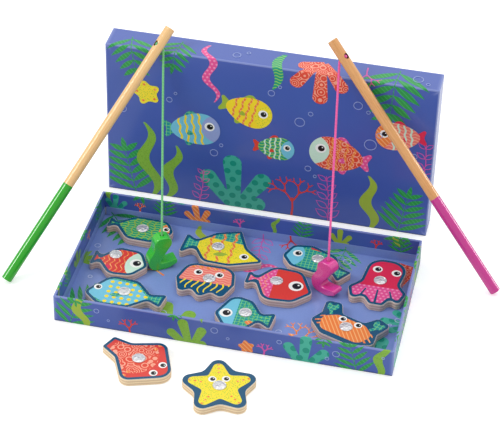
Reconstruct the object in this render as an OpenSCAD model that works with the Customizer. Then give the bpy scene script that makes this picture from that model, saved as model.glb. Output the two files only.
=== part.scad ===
// Magnetic fishing game: a rigid tray with a printed liner, its lid stood on a long side,
// twelve wooden sea creatures with steel caps, and two rods with a line and a magnetic hook.
// Origin: centre of the tray's underside. +X runs along the tray, +Y to the back, +Z up.

/* [Tray] */
// Outside length of the tray
tray_l = 310; // [296:1:324]
// Outside width of the tray
tray_w = 162; // [152:1:180]
// Outside height of the tray
tray_h = 28.5; // [22:0.5:36]
// Thickness of the wrapped board of tray and lid
board_t = 2; // [1.5:0.1:2.5]
// Rounding of the wrapped outer edges
edge_r = 1; // [0.4:0.1:1.4]
// Rounding of the rim, where the paper is folded inwards
rim_r = 0.7; // [0.3:0.1:0.9]
// Thickness of the wrap paper
paper_t = 0.2; // [0.1:0.05:0.4]
// Depth of the wrap paper turned in below the rim
turn_in = 17.5; // [8:0.5:19]

/* [Liner] */
// Thickness of the liner card
liner_t = 0.6; // [0.4:0.1:1]
// Height of the liner's folded edge above the tray's floor
liner_h = 10; // [6:0.5:14]
// Gap between the liner and the tray's walls
liner_gap = 0.2; // [0.1:0.05:0.4]
// Slit between two folded edges at each corner of the liner
corner_slit = 0.8; // [0.4:0.1:2]

/* [Lid] */
// Gap all round between the closed lid and the tray
lid_gap = 1; // [0.5:0.1:1.5]
// Outside depth of the lid
lid_d = 29; // [24:0.5:36]
// Place of the lid's middle along the tray
lid_x = -4; // [-10:1:10]
// Distance of the lid's face behind the tray's middle
lid_y = 124; // [112:1:135]

/* [Print] */
// Thickness of a field of colour
ink_t = 0.15; // [0.1:0.05:0.2]

/* [Creatures] */
// Thickness of the plywood
ply_t = 7; // [5:0.5:9]
// Thickness of the paper label
label_t = 0.2; // [0.1:0.05:0.3]
// Bare edge of the plywood round the label
label_edge = 0.4; // [0.2:0.1:1]
// Dark border of the label round the animal
border_w = 2.4; // [1.6:0.1:3]

/* [Steel caps] */
// Diameter of a cap
cap_d = 12; // [10:0.5:13]
// Height of a cap's dome
cap_h = 1.5; // [1:0.1:2]
// Height of a cap's upright rim
cap_rim = 0.4; // [0.3:0.1:0.6]
// Diameter of the shank under a cap
shank_d = 2; // [1.6:0.1:2.6]
// Length of the shank
shank_l = 5; // [3:0.5:6]
// Clearance of the shank in its hole
shank_gap = 0.1; // [0.05:0.05:0.2]

/* [Rods] */
// Diameter of a rod
rod_d = 9.8; // [8.5:0.1:10.5]
// Length of a rod
rod_l = 278; // [274:1:290]
// Length of the painted handle
handle_l = 105; // [80:1:130]
// Thickness of the handle's paint
paint_t = 0.1; // [0.05:0.05:0.2]
// Bevel on the ends of a rod
rod_bevel = 0.6; // [0.3:0.1:1]
// Distance of the string hole from the rod's tip
string_hole_at = 19; // [16:0.5:22]
// Diameter of the string hole
string_hole_d = 3.8; // [3.6:0.1:4.2]
// Diameter of the pocket for the knot
knot_pocket_d = 5.6; // [4.8:0.1:6]
// Height of the pocket's floor above the rod's middle
knot_pocket_z = 0.5; // [0.3:0.1:1.5]
// Direction of the green rod from its foot, seen from above
green_bearing = 57.7; // [50:0.1:65]
// Length of the green rod beyond the lid's edge
green_over = 23.9; // [18:0.1:30]
// Place along X where the green rod leans on the lid
green_lean_x = -111.6; // [-120:0.1:-105]
// Turn of the green rod's string hole round the rod
green_hole_turn = -20; // [-30:1:0]
// Direction of the pink rod from its foot, seen from above
pink_bearing = 156.4; // [150:0.1:165]
// Length of the pink rod beyond the lid's edge
pink_over = 44.4; // [40:0.1:50]
// Place along X where the pink rod leans on the lid
pink_lean_x = 79.5; // [70:0.1:90]
// Turn of the pink rod's string hole round the rod
pink_hole_turn = 0; // [-10:1:10]

/* [Hooks] */
// Height of a hook
hook_h = 36.4; // [32:0.2:40]
// Thickness of a hook
hook_t = 11.6; // [10.6:0.2:13]
// Diameter of the hole for the string
hook_hole_d = 3; // [2.8:0.1:3.4]
// Depth of the hole for the string
hook_hole_l = 7; // [6:0.5:9]
// Diameter of the magnet in a hook
magnet_d = 7.6; // [6:0.2:8]
// Thickness of the magnet
magnet_t = 3; // [2:0.1:3.4]
// Clearance round the magnet
magnet_gap = 0.15; // [0.1:0.05:0.3]
// Plastic under the magnet
magnet_skin = 1.4; // [1:0.1:1.8]

/* [Strings] */
// Diameter of a string
string_d = 2.2; // [1.8:0.1:2.4]
// Diameter of the knot in the rod
knot_d = 4.2; // [3.8:0.1:4.6]
// Radius of a string's bend round the lip of the rod's hole
lip_bend = 4.4; // [4.2:0.1:5]
// Radius of a string's bend above the hook
hook_bend = 20; // [10:1:30]

/* [Hidden] */

// Colours, as printed, painted and moulded
BLUE = [0.27, 0.33, 0.65];
PALE_BLUE = [0.50, 0.58, 0.83];
NAVY = [0.00, 0.33, 0.49];
GREEN = [0.20, 0.58, 0.28];
LIME = [0.56, 0.72, 0.22];
TEAL = [0.15, 0.62, 0.58];
AQUA = [0.55, 0.83, 0.90];
MINT = [0.82, 0.94, 0.86];
CORAL = [0.90, 0.30, 0.20];
ORANGE = [0.96, 0.52, 0.24];
YELLOW = [0.98, 0.86, 0.12];
PINK = [0.92, 0.35, 0.62];
CRIMSON = [0.88, 0.16, 0.32];
WHITE = [0.97, 0.97, 0.95];
BLACK = [0.10, 0.09, 0.09];
BIRCH = [0.86, 0.74, 0.58];
STEEL = [0.78, 0.78, 0.77];
MAGNET = [0.35, 0.35, 0.37];
GREEN_PAINT = [0.18, 0.65, 0.20];
PINK_PAINT = [0.78, 0.22, 0.58];

// Sizes that follow from the ones above
lid_l = tray_l + 2 * (board_t + lid_gap);
lid_w = tray_w + 2 * (board_t + lid_gap);
floor_z = board_t + liner_t + ink_t;
rest_gap = 0.15;
lip_gap = 0.7;
arc_step = 15;
rod_reach = rod_d / 2 + rest_gap;
string_play = (string_hole_d - string_d) / 2;
wall_x = tray_l / 2 - board_t;
wall_y = tray_w / 2 - board_t;
liner_x = wall_x - paper_t - liner_gap;
liner_y = wall_y - paper_t - liner_gap;

// Tray that the creatures and the prints are drawn for, and how much larger the tray is
DRAWN_FOR = [310, 162, 28.5];
grow_x = tray_l / DRAWN_FOR.x;
grow_y = tray_w / DRAWN_FOR.y;
grow = min(grow_x, grow_y);
grow_h = tray_h / DRAWN_FOR.z;

// Creatures: place of the cap, height of the underside, turn, outline.
// An outline is a list of corners [x, y, rounding radius], counter-clockwise.
SOLE = [[-109, 56, floor_z], 0, [
    [-35, -7, 2], [-26, 0, 4], [-12, -18, 12], [14, -19, 12], [31, 0, 7],
    [22, 17, 12], [-10, 18, 14], [-26, 5, 4], [-34, 12, 2]]];
PERCH = [[-123, 12, floor_z], 0, [
    [-21, -22, 2], [-13, -13, 4], [0, -29, 12], [22, -27, 12], [34, -10, 8],
    [24, 10, 12], [0, 12, 12], [-13, -4, 4], [-20, 6, 2]]];
WRASSE = [[-101, -38, floor_z], 0, [
    [-37, -8, 7], [-20, -23, 13], [8, -22, 14], [24, -8, 5], [37, -15, 2.5],
    [40, 5, 2.5], [25, 2, 5], [10, 18, 12], [-18, 20, 14]]];
ANGELFISH = [[-33, 47, floor_z], 0, [
    [-35, -19, 2.5], [-22, -6, 5], [-10, -25, 12], [16, -26, 14], [48, -13, 4],
    [28, 4, 12], [17, 29, 3], [-6, 21, 14], [-22, 6, 5], [-33, 14, 2.5]]];
JELLYFISH = [[-30, -1, floor_z], 0, [
    [-31, -4, 7], [-24, -25, 5], [-13, -18, 4], [-4, -28, 5], [6, -19, 4],
    [17, -25, 5], [25, -4, 7], [21, 20, 14], [-24, 20, 14]]];
PUFFER = [[31, 11, floor_z], 0, [
    [-29, -12, 2.5], [-19, -5, 4], [-8, -29, 13], [20, -27, 13], [36, -10, 6],
    [22, 19, 13], [-6, 21, 13], [-19, 3, 4], [-28, 10, 2.5]]];
DAMSEL = [[62, 52, floor_z], 0, [
    [-34, -2, 7], [-24, -16, 10], [0, -21, 12], [15, -17, 4], [23, -29, 2.5],
    [35, -12, 2.5], [23, -8, 4], [17, 8, 12], [-8, 19, 14], [-27, 16, 10]]];
OCTOPUS = [[124, 35, floor_z], 0, [
    [-28, -14, 6], [-23, -32, 6], [-12, -25, 4], [-5, -35, 5], [8, -35, 5], [13, -25, 4],
    [22, -31, 6], [27, -14, 6], [19, -3, 8], [24, 31, 16], [-14, 32, 16], [-18, -3, 8]]];
CRAB = [[105, -37, floor_z], -20, [
    [-16, -20, 10], [16, -20, 10], [33, -8, 6], [29, 6, 4], [34, 23, 5], [19, 27, 5],
    [11, 14, 4], [-11, 14, 4], [-19, 27, 5], [-34, 23, 5], [-29, 6, 4], [-33, -8, 6]]];
CHROMIS = [[13, -40, floor_z], 0, [
    [-28, -6, 7], [-16, -24, 12], [4, -24, 12], [14, -10, 4], [26, -18, 2.5],
    [28, 6, 2.5], [15, 2, 4], [4, 18, 12], [-16, 23, 12]]];
RAY = [[-65, -120, 0], -25, [
    [39, 0, 12], [6, 32, 9], [-18, 12, 10], [-36, 9, 3], [-36, -8, 3], [-18, -12, 10], [6, -32, 9]]];
star_turn = 15;
star_r = 40.5;
STARFISH = [[12, -137, 0], star_turn, [
    for (i = [0 : 4])
        each [corner_at(star_r, 90 + 72 * i, 8), corner_at(0.58 * star_r, 126 + 72 * i, 9)]]];

// Rods: bearing, length beyond the lid's edge, place on the lid, turn of the string hole
GREEN_ROD = [green_bearing, green_over, green_lean_x, green_hole_turn];
PINK_ROD = [pink_bearing, pink_over, pink_lean_x, pink_hole_turn];

// Hooks: where the string enters and how far the hook is turned, and the outline of its face
GREEN_STAND = [[-79.2 * grow_x, 15.4 * grow_y], 32];
PINK_STAND = [[77.4 * grow_x, 16.6 * grow_y], -29];
hook_k = hook_h / 36.4;
HOOK = [
    [-12, 0, 10.5], [3.7, 0, 13], [13.6, 5, 2.6], [13, 10, 2.6], [3, 7.8, 11], [-5, 7.5, 2],
    [9, 29, 8.5], [6, 36.4, 7.5], [-8, 36.4, 8.5], [-9, 22.4, 7.5], [-15.4, 12, 11]];
magnet_x = -5.4 * hook_k;

// Geometry of outlines

function unit(v) = v / norm(v);
function polar(r, a) = r * [cos(a), sin(a)];
function corner_at(r, a, rounding) = [r * cos(a), r * sin(a), rounding];
function left_of(v) = [-v.y, v.x];
function at(list, i) = list[(i + len(list)) % len(list)];
function flat(c) = [c.x, c.y];
function grown(corners, k) = [for (c = corners) k * c];

// Arc that rounds corner b between its neighbours a and c; it never takes more than half of a side
function corner_arc(a, b, c, r) =
    let (u = unit(a - b), w = unit(c - b), half = acos(max(-1, min(1, u * w))) / 2)
    r <= 0 || half > 89.5 ? [b] :
    let (reach = min(r / tan(half), 0.49 * norm(a - b), 0.49 * norm(c - b)),
         radius = reach * tan(half),
         middle = b + unit(u + w) * radius / sin(half),
         first = b + u * reach - middle,
         turn = (180 - 2 * half) * sign(u.x * w.y - u.y * w.x) * -1,
         start = atan2(first.y, first.x),
         steps = ceil(abs(turn) / arc_step))
    [for (i = [0 : steps]) middle + polar(radius, start + turn * i / steps)];

// Points of a whole outline with its corners rounded
function rounded(corners) = [
    for (i = [0 : len(corners) - 1])
        each corner_arc(flat(at(corners, i - 1)), flat(corners[i]), flat(at(corners, i + 1)), corners[i].z)];

// The same outline drawn in by d: each corner moves where its two sides meet, and its radius follows
function drawn_in(corners, d) = [
    for (i = [0 : len(corners) - 1])
        let (a = flat(at(corners, i - 1)), b = flat(corners[i]), c = flat(at(corners, i + 1)),
             m = left_of(unit(b - a)), n = left_of(unit(c - b)),
             outward = m.x * n.y - m.y * n.x > 0,
             p = b + (m + n) * d / (1 + m * n))
        [p.x, p.y, max(0.2, corners[i].z + (outward ? -d : d))]];

module outline(corners, inset = 0) polygon(rounded(drawn_in(corners, inset)));

function box_corners(w, h, r) = [[-w / 2, -h / 2, r], [w / 2, -h / 2, r], [w / 2, h / 2, r], [-w / 2, h / 2, r]];

// Box construction: rigid board wrapped in printed paper

// Block with its four upright edges and the edges of its underside rounded
module wrapped_block(l, w, h) {
    intersection() {
        linear_extrude(h) outline(box_corners(l, w, edge_r));
        translate([0, w, 0]) rotate([90, 0, 0]) linear_extrude(2 * w) shell_side(l, h);
        translate([-l, 0, 0]) rotate([90, 0, 90]) linear_extrude(2 * l) shell_side(w, h);
    }
}

// Side view of a shell: rounded below by the wrap and more tightly at the rim
module shell_side(w, h) outline([[-w / 2, 0, edge_r], [w / 2, 0, edge_r], [w / 2, h, rim_r], [-w / 2, h, rim_r]]);

// Open box: floor below, four walls, and the wrap paper folded over the rim and glued down inside
module shell(l, w, h) {
    inner_l = l - 2 * board_t;
    inner_w = w - 2 * board_t;
    difference() {
        wrapped_block(l, w, h);
        translate([-inner_l / 2, -inner_w / 2, board_t]) cube([inner_l, inner_w, h - board_t - turn_in]);
        translate([0, 0, h - turn_in - 0.01])
            linear_extrude(turn_in + 1) square([inner_l - 2 * paper_t, inner_w - 2 * paper_t], center = true);
    }
}

module tray() color(BLUE) shell(tray_l, tray_w, tray_h);

// Liner: one card with its four edges folded up, slit at the corners
module tray_liner() {
    color(PALE_BLUE) translate([0, 0, board_t]) {
        linear_extrude(liner_t) square([2 * liner_x, 2 * liner_y], center = true);
        for (side = [-1, 1]) {
            folded_edge(2 * liner_x, [0, side * (liner_y - liner_t / 2)], 0);
            folded_edge(2 * liner_y, [side * (liner_x - liner_t / 2), 0], 90);
        }
    }
}

module folded_edge(l, place, turn) {
    translate([place.x, place.y, liner_h / 2]) rotate(turn)
        cube([l - 2 * (liner_t + corner_slit), liner_t, liner_h], center = true);
}

// The lid stands on its long side: its face looks forward and its hollow to the back
module stand_lid() translate([lid_x, lid_y, lid_w / 2]) rotate([-90, 0, 0]) mirror([0, 1, 0]) children();

module lid() color(BLUE) stand_lid() shell(lid_l, lid_w, lid_d);

// Prints: fields of colour on the wrap paper, drawn on the unfolded sheet

module ink(c, layer = 1) color(c) linear_extrude(layer * ink_t) children();

// A motif whose place follows the tray's length and width
module motif(x, y, turn = 0) translate([x * grow_x, y * grow_y]) rotate(turn) scale([grow, grow, 1]) children();

module ring_2d(r) difference() {
    circle(r, $fn = 20);
    circle(r - 0.7, $fn = 20);
}

// Leaf along +Y: pointed at both ends
module leaf(l, w) polygon(rounded([[0, 0, 0], [w / 2, l * 0.45, l * 0.6], [0, l, 0], [-w / 2, l * 0.45, l * 0.6]]));

// Fern: a stem with pairs of leaves that shorten towards the tip
module fern(h, pairs) {
    translate([-0.5, 0]) square([1, h]);
    for (i = [0 : pairs - 1], side = [-1, 1])
        translate([0, h * (i + 0.4) / pairs]) rotate(-side * 58) leaf(h * (0.62 - 0.36 * i / pairs), h * 0.11);
    translate([0, h * 0.9]) leaf(h * 0.3, h * 0.1);
}

// Ribbon of kelp with edges that wave
module kelp(h, w) {
    n = 14;
    function edge(i, side) = [side * w / 2 * sin(20 + 150 * i / n) + 0.06 * h * sin(540 * i / n), h * i / n];
    polygon([for (i = [0 : n]) edge(i, -1), for (i = [n : -1 : 0]) edge(i, 1)]);
}

// Finger coral: rounded arms that spread from one foot
module finger(l, w, lean) rotate(lean) polygon(rounded([[-w * 0.3, 0, 0], [w * 0.3, 0, 0], [w * 0.6, l, w * 0.55], [-w * 0.6, l, w * 0.55]]));

module finger_coral(h) {
    finger(h, h * 0.26, 4);
    finger(h * 0.82, h * 0.24, 38);
    finger(h * 0.86, h * 0.24, -34);
    finger(h * 0.5, h * 0.22, -66);
}

// Fan coral: a stem that forks again and again
module fan_coral(l, depth) {
    translate([-0.9, 0]) square([1.8, l]);
    if (depth > 0)
        for (lean = [-36, 30])
            translate([0, l * 0.82]) rotate(lean) fan_coral(l * 0.68, depth - 1);
}

// Scallop shell: a fan on a small hinge
module scallop(r) {
    intersection() {
        circle(r, $fn = 28);
        polygon([[0, -r * 0.1], [r * 1.2, r * 0.35], [r, r * 1.2], [-r, r * 1.2], [-r * 1.2, r * 0.35]]);
    }
    translate([-r * 0.3, -r * 0.12]) square([r * 0.6, r * 0.25]);
}

// Small plain fish, facing +X
module small_fish(l) {
    polygon(rounded([[-l * 0.3, 0, 0], [-l * 0.05, -l * 0.3, l * 0.3], [l * 0.5, -l * 0.05, l * 0.14],
                     [l * 0.5, l * 0.05, l * 0.14], [-l * 0.05, l * 0.3, l * 0.3]]));
    polygon(rounded([[-l * 0.2, 0, 0], [-l * 0.5, l * 0.2, l * 0.05], [-l * 0.42, 0, l * 0.1], [-l * 0.5, -l * 0.2, l * 0.05]]));
}

module eye(r) {
    ink(WHITE, 2) circle(r, $fn = 20);
    ink(BLACK, 3) circle(r * 0.55, $fn = 16);
}

// The lid's sheet: X across the face, Y up it and on over the top side
module lid_sheet() {
    h = DRAWN_FOR.y + 6;
    motif(-128, 3, 14) ink(GREEN) fern(50, 6);
    motif(-96, 2, -8) ink(LIME) kelp(62, 11);
    motif(-110, 2, 6) ink(LIME) kelp(84, 12);
    motif(-30, 2) ink(TEAL) finger_coral(60);
    motif(26, 2) ink(CORAL) fan_coral(21, 3);
    motif(60, 9) ink(PINK) scallop(11);
    motif(128, 2, -10) ink(GREEN) fern(46, 6);
    motif(102, 2, 5) ink(TEAL) kelp(60, 12);
    motif(118, h + 22, 176) ink(GREEN) fern(58, 6);
    motif(-62, h + 20, 188) ink(PINK) kelp(66, 7);
    motif(48, h + 16, 176) ink(CORAL) finger_coral(46);
    motif(-136, h + 16, 190) ink(GREEN) fern(42, 5);
    motif(-22, 118, -14) ink(YELLOW) small_fish(46);
    motif(70, 78, 172) ink(CORAL) small_fish(54);
    motif(-74, 92, 8) ink(AQUA) small_fish(50);
    motif(8, 82) ink(LIME) small_fish(34);
    motif(-118, 132) ink(ORANGE) outline(grown(STARFISH[2], 0.5));
    motif(-12, 118) eye(3);
    motif(54, 80) eye(4);
    motif(-60, 96) eye(4);
    motif(16, 84) eye(2.4);
    for (b = [[-52, 62, 4], [-44, 74, 2], [30, 112, 5], [40, 124, 2.5], [98, 96, 6], [104, 112, 3], [-140, 96, 4]])
        motif(b.x, b.y) ink(PALE_BLUE) ring_2d(b.z);
}

// What of the sheet lies on the face, and what is folded back over the top side
module on_lid_part(low, high) intersection() {
    lid_sheet();
    translate([edge_r - lid_l / 2, low, -1]) cube([lid_l - 2 * edge_r, high - low, 3]);
}

module lid_print() {
    translate([lid_x, lid_y, 0]) rotate([90, 0, 0]) on_lid_part(edge_r, lid_w - edge_r);
    translate([lid_x, lid_y, lid_w]) translate([0, -lid_w, 0]) on_lid_part(lid_w + edge_r, lid_w + lid_d - edge_r);
}

// Band of the tray's print: X along a side, Y up it
module side_band(l) {
    intersection() {
        union() {
            on_band(l, -0.46, 2, -24) ink(GREEN) fern(34, 5);
            on_band(l, -0.24, 1) ink(CORAL) fan_coral(9, 2);
            on_band(l, -0.08, -4, 8) ink(LIME) finger_coral(30);
            on_band(l, 0.06, 7) ink(PINK) scallop(8);
            on_band(l, 0.2, -4, -6) ink(TEAL) finger_coral(32);
            on_band(l, 0.37, 1, 20) ink(GREEN) fern(30, 5);
            for (b = [[-0.34, 18, 4], [-0.3, 9, 2], [0.13, 19, 4], [0.29, 16, 5], [0.33, 7, 2]])
                on_band(l, b.x, b.y) ink(PALE_BLUE) ring_2d(b.z);
        }
        translate([edge_r - l / 2, edge_r, -1]) cube([l - 2 * edge_r, tray_h - edge_r - rim_r, 3]);
    }
}

module on_band(l, share, y, turn = 0)
    translate([l * share, y * grow_h]) rotate(turn) scale([grow_h, grow_h, 1]) children();

module tray_print() {
    for (turn = [0, 180])
        rotate(turn) translate([0, -tray_w / 2, 0]) rotate([90, 0, 0]) side_band(tray_l);
    for (turn = [90, 270])
        rotate(turn) translate([0, -tray_l / 2, 0]) rotate([90, 0, 0]) side_band(tray_w);
}

// Print on the liner's floor
module liner_print() {
    translate([0, 0, board_t + liner_t]) intersection() {
        union() {
            motif(-146, -60, -40) ink(GREEN) fern(40, 5);
            motif(-50, -76, 12) ink(LIME) finger_coral(44);
            motif(-72, 6, 60) ink(ORANGE) fan_coral(14, 3);
            motif(26, 40, 100) ink(PINK) kelp(56, 6);
            motif(56, -64, -30) ink(ORANGE) fan_coral(15, 3);
            motif(134, -76, -8) ink(TEAL) finger_coral(40);
            motif(148, 66, 150) ink(CORAL) finger_coral(38);
            motif(-58, 72, 200) ink(LIME) kelp(40, 7);
            for (b = [[-146, 30, 3], [-76, 22, 4], [-10, 30, 3], [58, 6, 3], [88, 66, 4], [46, -52, 3], [-60, -52, 4]])
                motif(b.x, b.y) ink(WHITE) ring_2d(b.z);
        }
        translate([1 - liner_x, 1 - liner_y, -1]) cube([2 * liner_x - 2, 2 * liner_y - 2, 3]);
    }
}

// Wooden creatures: a fretsawn plywood body, a glued paper label and a steel cap on a shank

module place(creature) translate([creature[0].x * grow_x, creature[0].y * grow_y, creature[0].z]) children();

module creature_outline(creature, inset = 0) rotate(creature[1]) outline(grown(creature[2], grow), inset);

module creature_wood(creature) {
    color(BIRCH) place(creature) difference() {
        linear_extrude(ply_t) creature_outline(creature);
        translate([0, 0, ply_t - shank_l - shank_gap])
            cylinder(d = shank_d + 2 * shank_gap, h = shank_l + 1, $fn = 32);
    }
}

// Label with its dark ground; the animal's fields of colour are children drawn within the border
module creature_label(creature) {
    place(creature) difference() {
        union() {
            color(NAVY) translate([0, 0, ply_t]) linear_extrude(label_t) creature_outline(creature, label_edge);
            translate([0, 0, ply_t + label_t]) intersection() {
                rotate(creature[1]) scale([grow, grow, 1]) children();
                translate([0, 0, -1]) linear_extrude(3) creature_outline(creature, label_edge + border_w);
            }
        }
        translate([0, 0, ply_t - 1]) cylinder(d = shank_d + 2 * shank_gap, h = 4, $fn = 32);
    }
}

module body_field(creature, c) ink(c) outline(creature[2], label_edge + border_w);

// Upright stripes from x = first, one every step, up to y = top
module stripes(c, first, step, count, w, top = 40) {
    for (i = [0 : count - 1])
        ink(c, 2) translate([first + step * i - w / 2, -40]) square([w, 40 + top]);
}

module creature_cap(creature) {
    dome_r = (pow(cap_d / 2, 2) + pow(cap_h - cap_rim, 2)) / (2 * (cap_h - cap_rim));
    color(STEEL) place(creature) translate([0, 0, ply_t + label_t + 2 * ink_t]) {
        rotate_extrude($fn = 64) {
            square([cap_d / 2, cap_rim]);
            intersection() {
                translate([0, cap_h - dome_r]) circle(dome_r, $fn = 160);
                translate([0, cap_rim]) square([cap_d / 2, cap_h]);
            }
        }
        translate([0, 0, -shank_l + label_t + 2 * ink_t]) cylinder(d = shank_d, h = shank_l, $fn = 32);
    }
}

module sole_label() creature_label(SOLE) {
    body_field(SOLE, GREEN);
    stripes(LIME, -20, 8, 5, 2.4);
    ink(ORANGE, 2) translate([17, -30]) square([20, 60]);
    translate([22, 2]) eye(2.6);
}

module perch_label() creature_label(PERCH) {
    body_field(PERCH, CORAL);
    stripes(ORANGE, -12, 8, 3, 2.6);
    ink(MINT, 2) translate([12, -40]) square([30, 80]);
    translate([20, -8]) eye(4.6);
}

module wrasse_label() creature_label(WRASSE) {
    body_field(WRASSE, AQUA);
    stripes(YELLOW, -12, 9, 6, 3);
    translate([-23, 0]) eye(3);
}

module angelfish_label() creature_label(ANGELFISH) {
    body_field(ANGELFISH, YELLOW);
    stripes(TEAL, -14, 12, 3, 3);
    ink(TEAL, 2) translate([-40, -30]) square([20, 60]);
    translate([25, -9]) eye(3.4);
}

module jellyfish_label() creature_label(JELLYFISH) {
    body_field(JELLYFISH, ORANGE);
    stripes(YELLOW, -24, 10, 5, 2.4, -8);
    for (x = [-12, 8])
        translate([x, 9]) eye(3);
}

module puffer_label() creature_label(PUFFER) {
    body_field(PUFFER, CORAL);
    ink(PINK, 2) translate([-40, -40]) square([40, 60]);
    translate([19, -4]) eye(5);
}

module damsel_label() creature_label(DAMSEL) {
    body_field(DAMSEL, GREEN);
    stripes(MINT, 0, 8, 4, 1.8);
    ink(AQUA, 2) translate([-40, -40]) square([28, 80]);
    translate([-19, 3]) eye(3.4);
}

module octopus_label() creature_label(OCTOPUS) {
    body_field(OCTOPUS, CRIMSON);
    for (x = [-20, -4, 12])
        ink(PINK, 2) translate([x, -24]) circle(3, $fn = 20);
    for (x = [-4, 13])
        translate([x, 16]) eye(3.4);
}

module crab_label() creature_label(CRAB) {
    body_field(CRAB, ORANGE);
    for (side = [-1, 1])
        ink(TEAL, 2) translate([side * 27, 20]) circle(11, $fn = 24);
    for (x = [-8, 8])
        translate([x, 9]) eye(2.8);
}

module chromis_label() creature_label(CHROMIS) {
    body_field(CHROMIS, TEAL);
    stripes(LIME, 0, 7, 4, 1.8);
    ink(AQUA, 2) translate([-40, -40]) square([33, 80]);
    translate([-15, -4]) eye(4.6);
}

module ray_label() creature_label(RAY) {
    body_field(RAY, CORAL);
    for (side = [-1, 1])
        ink(ORANGE, 2) translate([2, side * 16]) circle(4, $fn = 20);
    for (side = [-1, 1])
        translate([23, side * 6]) eye(3);
}

module starfish_label() creature_label(STARFISH) {
    ink(YELLOW) polygon([for (i = [0 : 9]) polar(i % 2 == 0 ? star_r : 0.4 * star_r, 90 + 36 * i)]);
    for (i = [0 : 4])
        ink(LIME, 2) rotate(90 + 72 * i) translate([19, 0]) circle(2, $fn = 16);
}

// Rods: each stands with its handle's end on the ground and leans on the lid's top front edge

function heading(bearing, tilt) = [cos(bearing) * cos(tilt), sin(bearing) * cos(tilt), sin(tilt)];

// Height of the end's middle at which the bevelled end just rests on the ground
function rest_height(way) =
    let (r = rod_d / 2 + paint_t, level = norm([way.x, way.y]))
    max((r - rod_bevel) * level, r * level - rod_bevel * way.z) + rest_gap / 3;

// Middle of the rod where it touches the lid, measured from the lid's edge
function on_edge(way) = let (slope = atan2(way.z, way.y)) rod_reach * [0, -sin(slope), cos(slope)];

// Tilt at which the rod rests on the ground and on the lid, found in a few steps
function tilt(rod, steps) =
    let (span = rod_l - rod[1],
         way = heading(rod[0], steps == 0 ? asin(lid_w / span) : tilt(rod, steps - 1)))
    asin((lid_w + on_edge(way).z - rest_height(way)) / span);

function rod_way(rod) = heading(rod[0], tilt(rod, 4));
function lean_point(rod) = [rod[2], lid_y, lid_w] + on_edge(rod_way(rod));

module along_rod(rod) {
    way = rod_way(rod);
    translate(lean_point(rod) - way * (rod_l - rod[1]))
        rotate([0, acos(way.z), atan2(way.y, way.x)]) children();
}

module bevelled_rod(r, l, bevel) {
    rotate_extrude($fn = 48)
        polygon([[0, 0], [r - bevel, 0], [r, bevel], [r, l - bevel], [r - bevel, l], [0, l]]);
}

// Round rod with a dipped handle, and a stepped hole across it for the string and its knot
module rod(rod, paint) {
    along_rod(rod) difference() {
        union() {
            color(BIRCH) bevelled_rod(rod_d / 2, rod_l, rod_bevel);
            color(paint) bevelled_rod(rod_d / 2 + paint_t, handle_l, rod_bevel);
        }
        across_rod(rod) {
            translate([0, 0, -rod_d]) cylinder(d = string_hole_d, h = 2 * rod_d, $fn = 32);
            translate([0, 0, knot_pocket_z]) cylinder(d = knot_pocket_d, h = rod_d, $fn = 32);
        }
    }
}

// Frame of the string hole: +Z points out of the knot's pocket
module across_rod(rod) translate([0, 0, rod_l - string_hole_at]) rotate([0, 0, rod[3]]) rotate([0, -90, 0]) children();

// The same direction and the hole's middle as vectors
function hole_out(rod) =
    let (way = rod_way(rod), level = norm([way.x, way.y]),
         down = [way.x * way.z, way.y * way.z, -level * level] / level, side = [-way.y, way.x, 0] / level)
    -down * cos(rod[3]) - side * sin(rod[3]);
function hole_middle(rod) = lean_point(rod) + (rod[1] - string_hole_at) * rod_way(rod);

module knot(rod, c) {
    color(c) along_rod(rod) across_rod(rod)
        translate([0, 0, knot_pocket_z + rest_gap]) rotate_extrude($fn = 32)
            intersection() {
                translate([0, knot_d * 0.42]) circle(d = knot_d, $fn = 48);
                square([knot_d, knot_d]);
            }
}

module green_rod() rod(GREEN_ROD, GREEN_PAINT);
module pink_rod() rod(PINK_ROD, PINK_PAINT);
module green_knot() knot(GREEN_ROD, GREEN);
module pink_knot() knot(PINK_ROD, PINK);

// Strings: down through the rod's hole, round its lip, straight to the hook and down into it

// Arc of radius r that rounds the bend at b on the way from a to c
function bend(a, b, c, r) =
    let (back = unit(a - b), on = unit(c - b), half = acos(back * on) / 2,
         middle = b + unit(back + on) * r / sin(half),
         first = unit(b + back * r / tan(half) - middle),
         turn = 180 - 2 * half, steps = ceil(turn / arc_step))
    [for (i = [0 : steps]) middle + r * (first * cos(turn * i / steps) - back * sin(turn * i / steps))];

// Points between a and b, at most three diameters apart
function between(a, b) =
    let (n = ceil(norm(b - a) / (3 * string_d)))
    [for (i = [1 : n - 1]) a + (b - a) * i / n];

function string_line(rod, hook_place) =
    let (out = hole_out(rod), middle = hole_middle(rod),
         hook_top = [hook_place[0].x, hook_place[0].y, floor_z + hook_h],
         over_hook = hook_top + [0, 0, 0.4 * hook_bend],
         pull = over_hook - middle,
         aside = unit(pull - out * (out * pull)) * string_play * 2 / 3,
         start = middle + out * knot_pocket_z,
         below = middle - out * (rod_d / 2 + lip_gap) - aside,
         in_hook = hook_top - [0, 0, hook_hole_l - string_d],
         first = bend(start, below, over_hook, lip_bend),
         second = bend(below, over_hook, in_hook, hook_bend))
    concat([start], first, between(first[len(first) - 1], second[0]), second, [in_hook]);

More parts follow.
